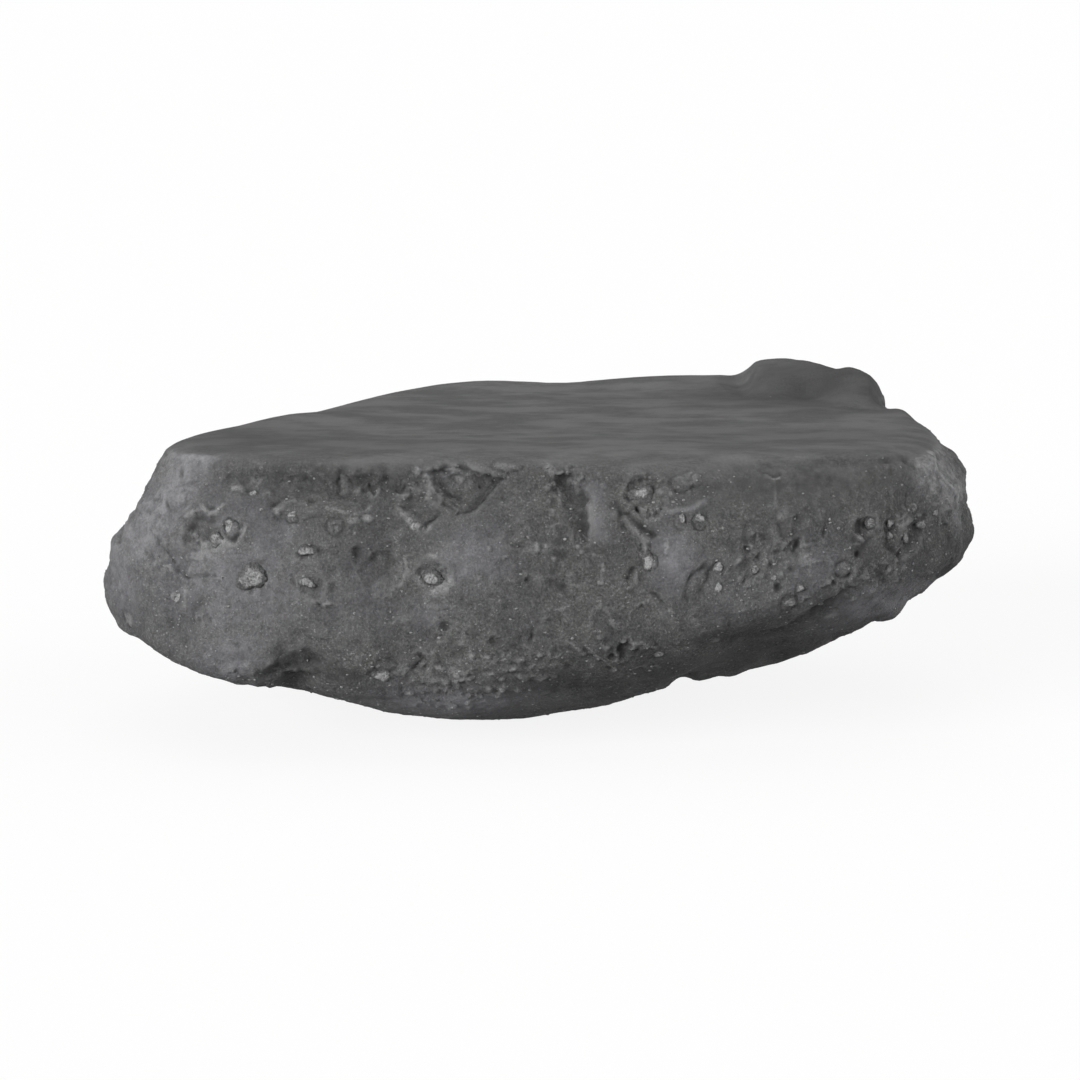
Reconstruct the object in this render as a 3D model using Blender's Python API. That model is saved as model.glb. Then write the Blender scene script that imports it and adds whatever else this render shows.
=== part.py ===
"""A natural basalt massage stone: a rubbed flat top, pitted flanks, a nub and a flat foot.

The stone is one body, shaped by ribs that run down its flank all round. Pale mineral grains that fill
some of its gas holes are bodies of their own, and each has a socket in the stone.
Frame: +X along the stone, +Y to the back, +Z up, with the origin on the ground under its middle.
"""

import math

import bmesh
import bpy
from mathutils import Matrix, Vector, noise
from mathutils.bvhtree import BVHTree

MM = 0.001

# Overall sizes.
LENGTH = 110.0 * MM
DEPTH = 57.0 * MM
TOP_HEIGHT = 37.5 * MM

# How much the top sinks at its middle, and the relief that weathering left on the flank.
TOP_DISH = 0.5 * MM
BROAD_RELIEF = 0.7 * MM
BROAD_RELIEF_SIZE = 14.0 * MM
FINE_RELIEF = 0.3 * MM
FINE_RELIEF_SIZE = 5.0 * MM
TOP_ROUGHNESS = 0.25
FOOT_FADE = (0.5 * MM, 4.0 * MM)

# Mineral grains: the gap to the socket all round, the thickness as a share of the smaller width, how far a grain is
# sunk as a share of its half thickness, and how lumpy it is.
GRAIN_CLEARANCE = 0.12 * MM
GRAIN_THICKNESS = 0.75
GRAIN_SINK = 0.3
GRAIN_LUMPS = 0.12
GRAIN_ROUNDS = 2

# Fineness of the mesh.
RIBS_ROUND = 112
TOP_RINGS = 8
UPPER_RINGS = 9
LOWER_RINGS = 10

# How often the edges between the ribs' arcs are rounded off.
WEAR_ROUNDS = 4

# One rib per line, counter-clockwise from the front middle, as rim x, y, z, then girdle x, y, z, then foot x, y,
# then the fullness of its section above and below the girdle: 2 is a round arc and 1 a straight slope.
# x is a share of half the length, y of half the depth and z of the top's height.
RIBS = [
    (-0.09, -0.70, 1.00, -0.09, -0.97, 0.38, -0.09, -0.15, 2.2, 1.75),
    (0.27, -0.70, 1.00, 0.29, -1.00, 0.48, 0.08, -0.08, 2.2, 1.45),
    (0.58, -0.70, 1.00, 0.65, -0.86, 0.57, 0.15, 0.04, 2.1, 1.23),
    (0.80, -0.52, 0.98, 0.90, -0.53, 0.61, 0.17, 0.12, 1.9, 1.42),
    (0.87, -0.14, 0.97, 1.00, -0.07, 0.61, 0.18, 0.22, 1.75, 1.52),
    (0.82, 0.30, 0.99, 0.95, 0.42, 0.58, 0.18, 0.30, 1.8, 1.50),
    (0.61, 0.84, 1.00, 0.67, 0.95, 0.58, 0.14, 0.42, 2.0, 1.60),
    (0.27, 0.96, 1.00, 0.29, 1.00, 0.55, 0.05, 0.50, 2.1, 1.70),
    (-0.09, 0.92, 1.00, -0.09, 0.97, 0.52, -0.12, 0.50, 2.0, 1.80),
    (-0.30, 0.80, 1.00, -0.41, 0.92, 0.44, -0.27, 0.44, 1.9, 1.70),
    (-0.50, 0.22, 1.00, -0.75, 0.60, 0.38, -0.36, 0.34, 1.6, 1.60),
    (-0.73, -0.18, 1.00, -0.94, 0.14, 0.42, -0.38, 0.20, 1.25, 1.50),
    (-0.81, -0.43, 1.00, -0.99, -0.30, 0.43, -0.38, 0.08, 1.2, 1.42),
    (-0.73, -0.66, 1.00, -0.82, -0.79, 0.33, -0.32, -0.02, 1.7, 1.12),
    (-0.45, -0.70, 1.00, -0.46, -0.95, 0.28, -0.22, -0.12, 2.1, 1.25),
]

# Lumps and hollows of the surface: centre as shares, half sizes in millimetres, how far the surface moves out in
# millimetres, and how boldly it starts: 2 is a soft edge and 0.6 a bold one.
SWELLINGS = {
    "nub_left_lobe": ((0.595, 0.80, 1.00), (6.6, 7.5, 8.0), 4.0, 0.6),
    "nub_right_lobe": ((0.740, 0.62, 1.00), (6.0, 7.5, 8.0), 3.4, 0.6),
    "back_shoulder": ((-0.140, 0.82, 1.00), (9.0, 7.0, 5.0), 0.5, 1.0),
    "back_rim_rise": ((0.420, 0.92, 1.00), (17.0, 7.0, 5.0), 1.0, 0.8),
    "right_end_brow": ((0.900, -0.20, 0.80), (6.0, 9.0, 6.0), 0.9, 2.0),
    "right_end_bulge": ((0.950, -0.20, 0.46), (7.0, 9.0, 6.0), 0.7, 2.0),
    "left_end_notch": ((-0.930, -0.30, 0.72), (4.0, 7.0, 4.0), -0.7, 2.0),
    "left_end_bulge": ((-0.980, -0.25, 0.48), (7.0, 9.0, 7.0), 0.4, 2.0),
    "scoop": ((-0.200, -0.80, 0.92), (7.0, 6.0, 5.0), -1.6, 1.5),
    "gouge": ((0.060, -0.86, 0.88), (3.6, 5.0, 6.0), -1.3, 1.5),
    "round_hollow": ((-0.360, -0.97, 0.64), (6.0, 5.0, 5.0), -0.8, 2.0),
    "middle_bulge": ((-0.160, -0.98, 0.68), (8.0, 6.0, 6.0), 0.8, 2.0),
    "slant_gouge": ((0.230, -0.97, 0.75), (3.0, 5.0, 5.0), -0.8, 2.0),
    "right_bulge": ((0.310, -0.98, 0.66), (5.0, 5.0, 5.0), 0.7, 2.0),
    "forked_hollow": ((0.860, -0.50, 0.72), (4.5, 6.0, 5.0), -1.0, 2.0),
    "undercut": ((0.480, -0.62, 0.28), (9.0, 7.0, 4.0), -1.5, 2.0),
    "undercut_lip": ((0.640, -0.45, 0.24), (8.0, 7.0, 3.5), 1.0, 2.0),
    "lower_left_lobe": ((-0.700, -0.55, 0.22), (6.5, 7.0, 6.0), 1.0, 2.0),
    "lower_left_hollow": ((-0.510, -0.50, 0.12), (5.0, 6.0, 4.0), -1.3, 2.0),
    "back_left_hollow": ((-0.300, 0.96, 0.60), (13.0, 9.0, 9.0), -1.3, 2.0),
    "back_right_bulge": ((0.400, 0.98, 0.50), (14.0, 9.0, 9.0), 1.0, 2.0),
    "back_right_hollow": ((0.760, 0.76, 0.68), (6.0, 8.0, 6.0), -1.0, 2.0),
}

# Mineral grains on the front: place along x and up z as shares, then width, height and tilt: millimetres, degrees.
GRAINS = {
    "left_tip_grain": (-0.79, 0.54, 1.2, 1.4, 0),
    "big_pit_grain": (-0.70, 0.73, 1.7, 2.1, 0),
    "small_ring_grain": (-0.67, 0.78, 1.2, 1.6, 0),
    "left_knobbly_grain": (-0.62, 0.62, 3.8, 3.0, -5),
    "upper_left_grain": (-0.62, 0.88, 1.0, 0.9, 0),
    "left_streak_grain": (-0.53, 0.82, 1.1, 0.9, 0),
    "lens_grain": (-0.50, 0.71, 2.5, 1.1, 5),
    "lens_lower_grain": (-0.50, 0.61, 2.1, 1.2, -10),
    "tongue_grain": (-0.26, 0.79, 2.0, 1.1, -20),
    "ring_pit_grain": (-0.23, 0.63, 2.6, 1.8, 0),
    "lower_nodule_grain": (-0.34, 0.31, 2.3, 1.4, 0),
    "round_pit_grain": (0.22, 0.90, 2.8, 2.1, 0),
    "bright_grain": (0.34, 0.82, 1.3, 1.2, 0),
    "bright_grain_neighbour": (0.30, 0.82, 1.0, 1.2, 0),
    "fork_grain": (0.23, 0.69, 1.3, 1.7, 0),
    "groove_upper_grain": (0.38, 0.67, 1.1, 1.1, 0),
    "groove_lower_grain": (0.38, 0.61, 1.0, 1.2, 0),
    "patch_grain": (0.46, 0.66, 1.1, 1.0, 0),
    "patch_small_grain": (0.50, 0.63, 0.8, 0.7, 0),
    "patch_round_grain": (0.54, 0.54, 1.8, 1.5, 0),
    "patch_right_grain": (0.56, 0.59, 0.9, 0.9, 0),
    "right_pit_grain": (0.72, 0.775, 1.8, 1.3, 0),
    "hollow_upper_grain": (0.765, 0.765, 1.0, 0.9, 0),
    "hollow_middle_grain": (0.765, 0.725, 1.0, 0.9, 0),
    "hollow_tall_grain": (0.80, 0.72, 0.9, 1.8, 20),
    "hollow_bright_grain": (0.84, 0.74, 2.0, 1.1, -10),
    "hollow_outer_grain": (0.87, 0.77, 1.1, 0.9, 0),
    "hollow_high_grain": (0.82, 0.80, 1.0, 1.5, 0),
    "undercut_grain": (0.26, 0.37, 1.1, 1.0, 0),
}


def clear_scene():
    for item in list(bpy.data.objects):
        bpy.data.objects.remove(item, do_unlink=True)


def principled(name, colour, roughness):
    material = bpy.data.materials.new(name)
    material.use_nodes = True
    shader = material.node_tree.nodes["Principled BSDF"]
    shader.inputs["Base Color"].default_value = (*colour, 1.0)
    shader.inputs["Roughness"].default_value = roughness
    shader.inputs["Metallic"].default_value = 0.0
    material.diffuse_color = (*colour, 1.0)
    return material


def smooth_between(values, place):
    """A closed smooth curve through values, each a tuple, read at place, which counts values."""
    first = math.floor(place)
    t = place - first
    a, b, c, d = (Vector(values[(first + step) % len(values)]) for step in (-1, 0, 1, 2))
    return b + 0.5 * t * ((c - a) + t * ((2 * a - 5 * b + 4 * c - d) + t * (3 * (b - c) + d - a)))


def rib_points(place):
    """The rib's rim, girdle and foot, in metres."""
    rim = smooth_between([rib[0:3] for rib in RIBS], place)
    girdle = smooth_between([rib[3:6] for rib in RIBS], place)
    foot = smooth_between([(*rib[6:8], 0.0) for rib in RIBS], place)
    scale = Vector((LENGTH / 2, DEPTH / 2, TOP_HEIGHT))
    return rim * scale, girdle * scale, foot * scale, smooth_between([rib[8:10] for rib in RIBS], place)


def arc(start, end, fullness, turn):
    """A point between start and end on a superellipse quarter that leaves start level and ends upright."""
    out = math.sin(turn) ** (2 / fullness)
    down = 1 - math.cos(turn) ** (2 / fullness)
    return Vector((*(start.xy + (end.xy - start.xy) * out), start.z + (end.z - start.z) * down))


def rib_line(place):
    """All the points of one rib, from the top's middle outwards and down to the foot's edge."""
    rim, girdle, foot, fullness = rib_points(place)
    middle = Vector((0.0, 0.0, TOP_HEIGHT - TOP_DISH))
    line = []
    for ring in range(1, TOP_RINGS):
        share = ring / TOP_RINGS
        point = middle.lerp(rim, share)
        point.z = middle.z + (rim.z - middle.z) * share**2
        line.append(point)
    for ring in range(UPPER_RINGS):
        line.append(arc(rim, girdle, fullness[0], math.pi / 2 * ring / UPPER_RINGS))
    for ring in range(LOWER_RINGS, -1, -1):
        line.append(arc(foot, girdle, fullness[1], math.pi / 2 * ring / LOWER_RINGS))
    return line


def build_hull():
    """The stone before its relief, as a closed bmesh."""
    mesh = bmesh.new()
    middle = mesh.verts.new((0.0, 0.0, TOP_HEIGHT - TOP_DISH))
    lines = [
        [mesh.verts.new(point) for point in rib_line(rib * len(RIBS) / RIBS_ROUND)]
        for rib in range(RIBS_ROUND)
    ]
    for here, beside in zip(lines, lines[1:] + lines[:1]):
        mesh.faces.new((middle, here[0], beside[0]))
        for ring in range(len(here) - 1):
            mesh.faces.new((here[ring], here[ring + 1], beside[ring + 1], beside[ring]))
    foot = mesh.faces.new([line[-1] for line in reversed(lines)])
    worn = [vertex for vertex in mesh.verts if vertex not in set(foot.verts)]
    for _ in range(WEAR_ROUNDS):
        bmesh.ops.smooth_vert(mesh, verts=worn, factor=0.5, use_axis_x=True, use_axis_y=True, use_axis_z=True)
    mesh.normal_update()
    return mesh


def step_up(low, high, value):
    """0 below low, 1 above high, smooth between."""
    share = min(max((value - low) / (high - low), 0.0), 1.0)
    return share * share * (3 - 2 * share)


def swelling_at(point):
    """How far the surface moves out: the boldest lump here and the deepest hollow."""
    moves = [0.0]
    for centre, half_sizes, lift, edge in SWELLINGS.values():
        middle = Vector((centre[0] * LENGTH / 2, centre[1] * DEPTH / 2, centre[2] * TOP_HEIGHT))
        away = sum(((point[axis] - middle[axis]) / (half_sizes[axis] * MM)) ** 2 for axis in range(3))
        if away < 1:
            moves.append(lift * MM * (1 - away) ** edge)
    return max(moves) + min(moves)


def add_relief(mesh):
    """Moves the surface in and out, but neither the foot nor, with the weathering, the rubbed top."""
    moves = []
    for vertex in mesh.verts:
        point = vertex.co
        broad = noise.noise(point / BROAD_RELIEF_SIZE) * BROAD_RELIEF
        fine = noise.noise(point / FINE_RELIEF_SIZE) * FINE_RELIEF
        rubbed = step_up(0.75, 0.95, vertex.normal.z)
        out = swelling_at(point) + (broad + fine) * (1 - (1 - TOP_ROUGHNESS) * rubbed)
        moves.append(vertex.normal * out * step_up(FOOT_FADE[0], FOOT_FADE[1], point.z))
    for vertex, move in zip(mesh.verts, moves):
        vertex.co += move
    mesh.normal_update()


def centre_on_foot(mesh):
    """Slides the stone level, so that the origin is under the middle of its box."""
    for axis in (0, 1):
        places = [vertex.co[axis] for vertex in mesh.verts]
        middle = (min(places) + max(places)) / 2
        for vertex in mesh.verts:
            vertex.co[axis] -= middle


def new_object(name, mesh, material, collection):
    data = bpy.data.meshes.new(name)
    mesh.to_mesh(data)
    mesh.free()
    item = bpy.data.objects.new(name, data)
    item.data.materials.append(material)
    collection.objects.link(item)
    return item


def seat_of(surface, x_share, z_share):
    """Where a level line from the front meets the stone, as a matrix whose z axis points out of the stone."""
    start = Vector((x_share * LENGTH / 2, -DEPTH, z_share * TOP_HEIGHT))
    place, outwards, _, _ = surface.ray_cast(start, Vector((0.0, 1.0, 0.0)))
    across = Vector((0.0, 0.0, 1.0)).cross(outwards).normalized()
    turn = Matrix((across, outwards.cross(across), outwards)).transposed().to_4x4()
    return Matrix.Translation(place) @ turn


def grain_form(half_sizes, growth, variant):
    """A lumpy ellipsoid, grown outwards all round by growth."""
    mesh = bmesh.new()
    bmesh.ops.create_icosphere(mesh, subdivisions=GRAIN_ROUNDS, radius=1.0)
    for vertex in mesh.verts:
        unit = vertex.co.copy()
        lump = 1 + GRAIN_LUMPS * noise.noise(unit * 1.7 + Vector((variant * 3.1, 0.0, 0.0)))
        surface = Vector([unit[axis] * half_sizes[axis] * lump for axis in range(3)])
        outwards = Vector([unit[axis] / half_sizes[axis] for axis in range(3)]).normalized()
        vertex.co = surface + outwards * growth
    return mesh


def add_grains(surface, mineral, sockets):
    """Each grain in its own node, with a socket that follows its form at the clearance."""
    for variant, (name, (x_share, z_share, width, height, tilt)) in enumerate(GRAINS.items()):
        half_sizes = (width * MM / 2, height * MM / 2, min(width, height) * MM / 2 * GRAIN_THICKNESS)
        seat = seat_of(surface, x_share, z_share)
        sunk = Matrix.Translation((0.0, 0.0, -GRAIN_SINK * half_sizes[2]))
        place = seat @ Matrix.Rotation(math.radians(tilt), 4, "Z") @ sunk
        grain = new_object(
            name, grain_form(half_sizes, 0.0, variant), mineral, bpy.context.scene.collection
        )
        socket = new_object(
            name + "_socket", grain_form(half_sizes, GRAIN_CLEARANCE, variant), mineral, sockets
        )
        grain.matrix_world = place
        grain.data.shade_smooth()
        socket.matrix_world = place
        socket.hide_render = True
        socket.display_type = "WIRE"


def main():
    clear_scene()
    sockets = bpy.data.collections.new("grain_sockets")
    bpy.context.scene.collection.children.link(sockets)
    hull = build_hull()
    add_relief(hull)
    centre_on_foot(hull)
    add_grains(BVHTree.FromBMesh(hull), principled("pale_mineral", (0.24, 0.24, 0.24), 0.7), sockets)
    basalt = principled("basalt", (0.09, 0.09, 0.095), 0.8)
    stone = new_object("stone_body", hull, basalt, bpy.context.scene.collection)
    stone.data.shade_smooth()
    cut = stone.modifiers.new("grain_sockets", "BOOLEAN")
    cut.operation = "DIFFERENCE"
    cut.operand_type = "COLLECTION"
    cut.collection = sockets
    cut.solver = "EXACT"


main()
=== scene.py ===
"""Looks of the basalt massage stone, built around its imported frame.

The stone is remeshed finely from its CAD body and levelled over its sockets. Then it is worked: broad
forms, marks, then grit. The mineral grains are refined from their CAD bodies and worn nearly level with
the stone. Geometry nodes scatter the small mineral specks.
"""

import math

import bmesh
import bpy
import numpy as np
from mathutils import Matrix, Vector


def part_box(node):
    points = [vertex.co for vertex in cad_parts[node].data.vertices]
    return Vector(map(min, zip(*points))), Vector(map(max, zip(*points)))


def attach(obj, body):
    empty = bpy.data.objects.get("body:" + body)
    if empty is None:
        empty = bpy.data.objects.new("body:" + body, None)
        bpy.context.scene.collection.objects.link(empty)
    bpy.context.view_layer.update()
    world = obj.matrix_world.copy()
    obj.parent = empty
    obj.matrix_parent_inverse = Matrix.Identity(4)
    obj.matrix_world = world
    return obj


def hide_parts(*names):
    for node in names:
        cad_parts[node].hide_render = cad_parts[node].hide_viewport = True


MM = 0.001
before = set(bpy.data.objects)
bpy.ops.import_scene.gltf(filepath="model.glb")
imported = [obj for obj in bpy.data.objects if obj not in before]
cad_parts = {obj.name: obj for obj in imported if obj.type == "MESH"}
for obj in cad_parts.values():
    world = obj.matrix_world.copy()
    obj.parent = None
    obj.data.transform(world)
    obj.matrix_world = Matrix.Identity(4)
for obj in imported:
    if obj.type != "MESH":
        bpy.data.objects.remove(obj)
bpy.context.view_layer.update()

# Sizes that follow the frame: features are placed by shares of half the length and of the top's height.
STONE_LOW, STONE_HIGH = (Vector(corner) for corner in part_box("stone_body"))
HALF_LENGTH = (STONE_HIGH.x - STONE_LOW.x) / 2
HALF_DEPTH = (STONE_HIGH.y - STONE_LOW.y) / 2
TOP_HEIGHT = 0.895 * STONE_HIGH.z

# Fineness of the stone's surface. Bland places give up more triangles than marked ones.
SURFACE_STEP = 0.26 * MM
FACET_ROUNDS = 34
MOST_TRIANGLES = 192000
BLAND_STEPS = 8
BLAND_PULL = 2.0
FOOT_BAND = 0.15 * MM
FOOT_FADE = 2.0 * MM

# Grains: how deep a margin lies under the stone's skin, and which grains are dirty all over.
GRAIN_SUNK = 0.15 * MM
DULL_GRAINS = {
    "round_pit_grain": 0.50,
    "ring_pit_grain": 0.35,
    "left_knobbly_grain": 0.15,
    "big_pit_grain": 0.20,
}

# Studio: strength 1 lights a white card that faces the light fully.
SUNS = {
    "key_left": ((-0.80, -0.62, 0.36), 1.05, 30),
    "fill_right": ((0.75, -0.45, 0.48), 0.20, 50),
    "rim_right": ((0.95, 0.10, 0.30), 0.30, 30),
    "top_soft": ((-0.15, 0.20, 1.0), 0.21, 60),
}
SURROUND_STRENGTH = 0.285
FLOOR_HALF = 6.0
FLOOR_GLOW = 0.87

# Camera.
CAMERA_LENS = 85.0
CAMERA_SENSOR = 36.0
CAMERA_DISTANCE = 0.327
CAMERA_ELEVATION = 14.0
CAMERA_AIM = Vector((0.0, 0.0, 0.0214))


# Lattice noise on arrays of points

def lattice_value(cell, seed):
    """A repeatable number from -1 to 1 for each whole-numbered cell."""
    mixed = (cell[..., 0] * 73856093) ^ (cell[..., 1] * 19349663)
    mixed = mixed ^ (cell[..., 2] * 83492791) ^ (seed * 2654435)
    mixed = (mixed ^ (mixed >> 13)) * 1274126177
    mixed = (mixed ^ (mixed >> 16)) & 0xFFFFFF
    return mixed / 0x7FFFFF - 1.0


def noise_at(points, size, seed):
    """Smooth noise from -1 to 1 whose lumps are about size across."""
    scaled = points / size
    cell = np.floor(scaled).astype(np.int64)
    part = scaled - cell
    part = part * part * (3 - 2 * part)
    total = np.zeros(len(points))
    for corner in range(8):
        offset = np.array([corner & 1, (corner >> 1) & 1, corner >> 2])
        weight = np.prod(np.where(offset, part, 1 - part), axis=1)
        total += weight * lattice_value(cell + offset, seed)
    return total


def layered_noise(points, size, seed, layers=3):
    """Noise with finer and weaker layers on it."""
    total = np.zeros(len(points))
    for layer in range(layers):
        total += noise_at(points, size / 2**layer, seed + layer) / 2**layer
    return total / 1.6


def smooth_step(low, high, values):
    share = np.clip((values - low) / (high - low), 0, 1)
    return share * share * (3 - 2 * share)


class Wire:
    """A socket of a material's node tree. Arithmetic on wires adds Math nodes."""

    def __init__(self, finish, socket):
        self.finish = finish
        self.socket = socket

    def math(self, operation, *values):
        return self.finish.add("ShaderNodeMath", {"operation": operation}, dict(enumerate(values)))

    def __add__(self, other):
        return self.math("ADD", self, other)

    def __sub__(self, other):
        return self.math("SUBTRACT", self, other)

    def __rsub__(self, other):
        return self.math("SUBTRACT", other, self)

    def __mul__(self, other):
        return self.math("MULTIPLY", self, other)

    __radd__ = __add__
    __rmul__ = __mul__

    def band(self, low, high):
        """0 below low, 1 above high, smooth between."""
        inputs = {"Value": self, "From Min": low, "From Max": high}
        return self.finish.add("ShaderNodeMapRange", {"interpolation_type": "SMOOTHSTEP"}, inputs)


class Finish:
    """A material made of nodes."""

    def __init__(self, name):
        self.material = bpy.data.materials.new(name)
        self.material.use_nodes = True
        self.tree = self.material.node_tree
        self.shader = self.tree.nodes["Principled BSDF"]

    def add(self, kind, settings=None, inputs=None, output=0):
        """Adds a node: its type, its settings, then the values or wires of its sockets."""
        node = self.tree.nodes.new(kind)
        for name, value in (settings or {}).items():
            setattr(node, name, value)
        for name, value in (inputs or {}).items():
            self.connect(node.inputs[name], value)
        return Wire(self, node.outputs[output])

    def connect(self, socket, value):
        if isinstance(value, Wire):
            self.tree.links.new(value.socket, socket)
        else:
            socket.default_value = value

    def place(self):
        return self.add("ShaderNodeTexCoord", output="Object")

    def attribute(self, name):
        return self.add("ShaderNodeAttribute", {"attribute_name": name}, output="Fac")

    def noise(self, place, size, detail=3.0, roughness=0.55):
        inputs = {"Vector": place, "Scale": 1 / size, "Detail": detail, "Roughness": roughness}
        return self.add("ShaderNodeTexNoise", {}, inputs)

    def stretched(self, place, scale):
        return self.add("ShaderNodeMapping", {}, {"Vector": place, "Scale": scale})

    def mix(self, share, first, second):
        sockets = {0: share, 6: first, 7: second}
        return self.add("ShaderNodeMix", {"data_type": "RGBA"}, sockets, output=2)

    def bump(self, height, distance, strength=1.0):
        inputs = {"Height": height, "Distance": distance, "Strength": strength}
        return self.add("ShaderNodeBump", {}, inputs, output="Normal")

    def finish(self, **sockets):
        for name, value in sockets.items():
            self.connect(self.shader.inputs[name.replace("_", " ")], value)
        return self.material


def grey(value, blue=0.0):
    return (value, value, value * (1 + blue), 1.0)


def basalt_finish():
    finish = Finish("weathered_basalt")
    place = finish.place()
    relief_shade = finish.attribute("relief_shade")
    dust_and_highlight = finish.attribute("dust_and_highlight")
    shade_and_dark_tone = finish.attribute("shade_and_dark_tone")
    highlight_and_pale_tone = finish.attribute("highlight_and_pale_tone")
    rubbed = finish.attribute("rubbed")
    cloud = finish.noise(place, 6 * MM, 5.0, 0.6).band(0.38, 0.62)
    wrinkle = finish.noise(finish.stretched(place, (0.7, 1.0, 1.3)), 1.0 * MM, 5.0, 0.7)
    speckle = finish.noise(place, 0.30 * MM, 4.0, 0.8)
    grit = finish.noise(place, 0.17 * MM, 3.0, 0.75)
    streaks = finish.noise(finish.stretched(place, (1.0, 3.0, 3.0)), 9 * MM, 7.0, 0.62)
    brushed = finish.noise(finish.stretched(place, (1.0, 12.0, 12.0)), 1.6 * MM, 4.0, 0.7)

    lava = finish.mix(cloud, grey(0.088, 0.03), grey(0.116, -0.03))
    lava = finish.mix(wrinkle.band(0.52, 0.72) * 0.30, lava, grey(0.22))
    lava = finish.mix(wrinkle.band(0.48, 0.30) * 0.32, lava, grey(0.045))
    uneven = 0.45 + 0.55 * cloud
    lava = finish.mix(speckle.band(0.50, 0.68) * uneven * 0.85, lava, grey(0.27))
    lava = finish.mix(speckle.band(0.50, 0.33) * 0.70, lava, grey(0.036))
    # Painted glints: tiny bright points.
    painted_glints = finish.noise(place, 0.42 * MM, 2.0, 0.5).band(0.665, 0.74)
    lava = finish.mix(painted_glints * uneven * 0.70, lava, grey(0.40))
    top = finish.mix(streaks.band(0.38, 0.62), grey(0.072), grey(0.126))
    top = finish.mix(brushed.band(0.42, 0.62) * 0.40, top, grey(0.145))
    top = finish.mix(speckle.band(0.50, 0.70) * 0.30, top, grey(0.17))
    top = finish.mix(speckle.band(0.50, 0.32) * 0.25, top, grey(0.055))
    colour = finish.mix(rubbed, lava, top)
    # Painted highlights on bulges, ridges and the right end, and painted light on shaded low places,
    # partly paler bluish stone.
    colour = finish.mix(highlight_and_pale_tone * (0.25 + 0.8 * speckle), colour, grey(0.32, 0.07))
    # Painted shade in recesses of the relief; raised places are painted lighter.
    colour = finish.mix(relief_shade.band(0.0, 1.0) * 0.6, colour, grey(0.26))
    colour = finish.mix((0.0 - relief_shade).band(0.0, 1.0) * 0.7, colour, grey(0.034))
    # Painted shade in pits, grooves, hollows, under the rim and under ledges; on the rubbed top, darker
    # patches.
    colour = finish.mix(shade_and_dark_tone * (0.4 + 0.9 * speckle), colour, grey(0.034))
    # Pale dust on bits and ridges, and painted highlights where walls and edges face the light.
    colour = finish.mix(dust_and_highlight * speckle.band(0.25, 0.60), colour, grey(0.36))
    height = (speckle + grit * 0.5 + wrinkle) * (1 - rubbed * 0.85) + streaks * rubbed * 0.35
    return finish.finish(
        Base_Color=colour,
        Roughness=0.62 + 0.12 * speckle,
        Normal=finish.bump(height, 0.27 * MM),
        IOR=1.45,
        Specular_IOR_Level=0.35,
    )


def mineral_finish():
    """Pale mineral, dirtied by the rock around it towards a grain's margin."""
    finish = Finish("pale_mineral")
    place = finish.place()
    margin = finish.attribute("margin")
    cloud = finish.noise(place, 1.0 * MM, 4.0, 0.65)
    grit = finish.noise(place, 0.25 * MM, 3.0, 0.7)
    colour = finish.mix(cloud.band(0.35, 0.65), grey(0.16), grey(0.37))
    colour = finish.mix(grit.band(0.50, 0.70) * 0.7, colour, grey(0.46))
    colour = finish.mix(grit.band(0.50, 0.30) * 0.7, colour, grey(0.06))
    dirt = finish.mix(grit.band(0.35, 0.65), grey(0.055), grey(0.135))
    colour = finish.mix((margin * 1.3 - cloud).band(0.15, 0.85), colour, dirt)
    return finish.finish(
        Base_Color=colour,
        Roughness=0.55 + 0.2 * grit,
        Normal=finish.bump(cloud + grit, 0.28 * MM),
    )


# Building the stone's surface

def plain_object(name, mesh):
    item = bpy.data.objects.new(name, mesh)
    bpy.context.scene.collection.objects.link(item)
    return item


def merged_copy(node, name):
    """A copy of a CAD node whose loose triangles are joined."""
    work = bmesh.new()
    work.from_mesh(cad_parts[node].data)
    bmesh.ops.remove_doubles(work, verts=work.verts, dist=0.001 * MM)
    mesh = bpy.data.meshes.new(name)
    work.to_mesh(mesh)
    work.free()
    return plain_object(name, mesh)


def apply_modifiers(item):
    """Turns the evaluated object into a plain mesh."""
    graph = bpy.context.evaluated_depsgraph_get()
    mesh = bpy.data.meshes.new_from_object(item.evaluated_get(graph))
    item.modifiers.clear()
    old = item.data
    item.data = mesh
    bpy.data.meshes.remove(old)


def points_of(mesh):
    points = np.empty(len(mesh.vertices) * 3)
    mesh.vertices.foreach_get("co", points)
    return points.reshape(-1, 3)


def normals_of(mesh):
    normals = np.empty(len(mesh.vertices) * 3, np.float32)
    mesh.vertex_normals.foreach_get("vector", normals)
    return normals.reshape(-1, 3).astype(float)


def set_points(mesh, points):
    mesh.vertices.foreach_set("co", points.ravel())
    mesh.update()


def edge_ends(mesh):
    ends = np.empty(len(mesh.edges) * 2, np.int32)
    mesh.edges.foreach_get("vertices", ends)
    return ends.reshape(-1, 2)


def local_mean(values, ends, rounds):
    """Each value averaged with its neighbours', a number of times over."""
    count = np.bincount(ends.ravel(), minlength=len(values))
    for _ in range(rounds):
        total = np.bincount(ends[:, 0], values[ends[:, 1]], len(values))
        total += np.bincount(ends[:, 1], values[ends[:, 0]], len(values))
        values = 0.5 * values + 0.5 * total / count
    return values


def fine_skin(node, name):
    """The CAD body with an even fine mesh and its facets rounded off."""
    item = merged_copy(node, name)
    remesh = item.modifiers.new("even_mesh", "REMESH")
    remesh.mode = "VOXEL"
    remesh.voxel_size = SURFACE_STEP
    apply_modifiers(item)
    mesh = item.data
    ends = edge_ends(mesh)
    points = points_of(mesh)
    on_foot = points[:, 2] < FOOT_BAND
    rounded = np.stack([local_mean(points[:, axis], ends, FACET_ROUNDS) for axis in range(3)], 1)
    rounded[on_foot] = points[on_foot]
    set_points(mesh, rounded)
    return item


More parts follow.
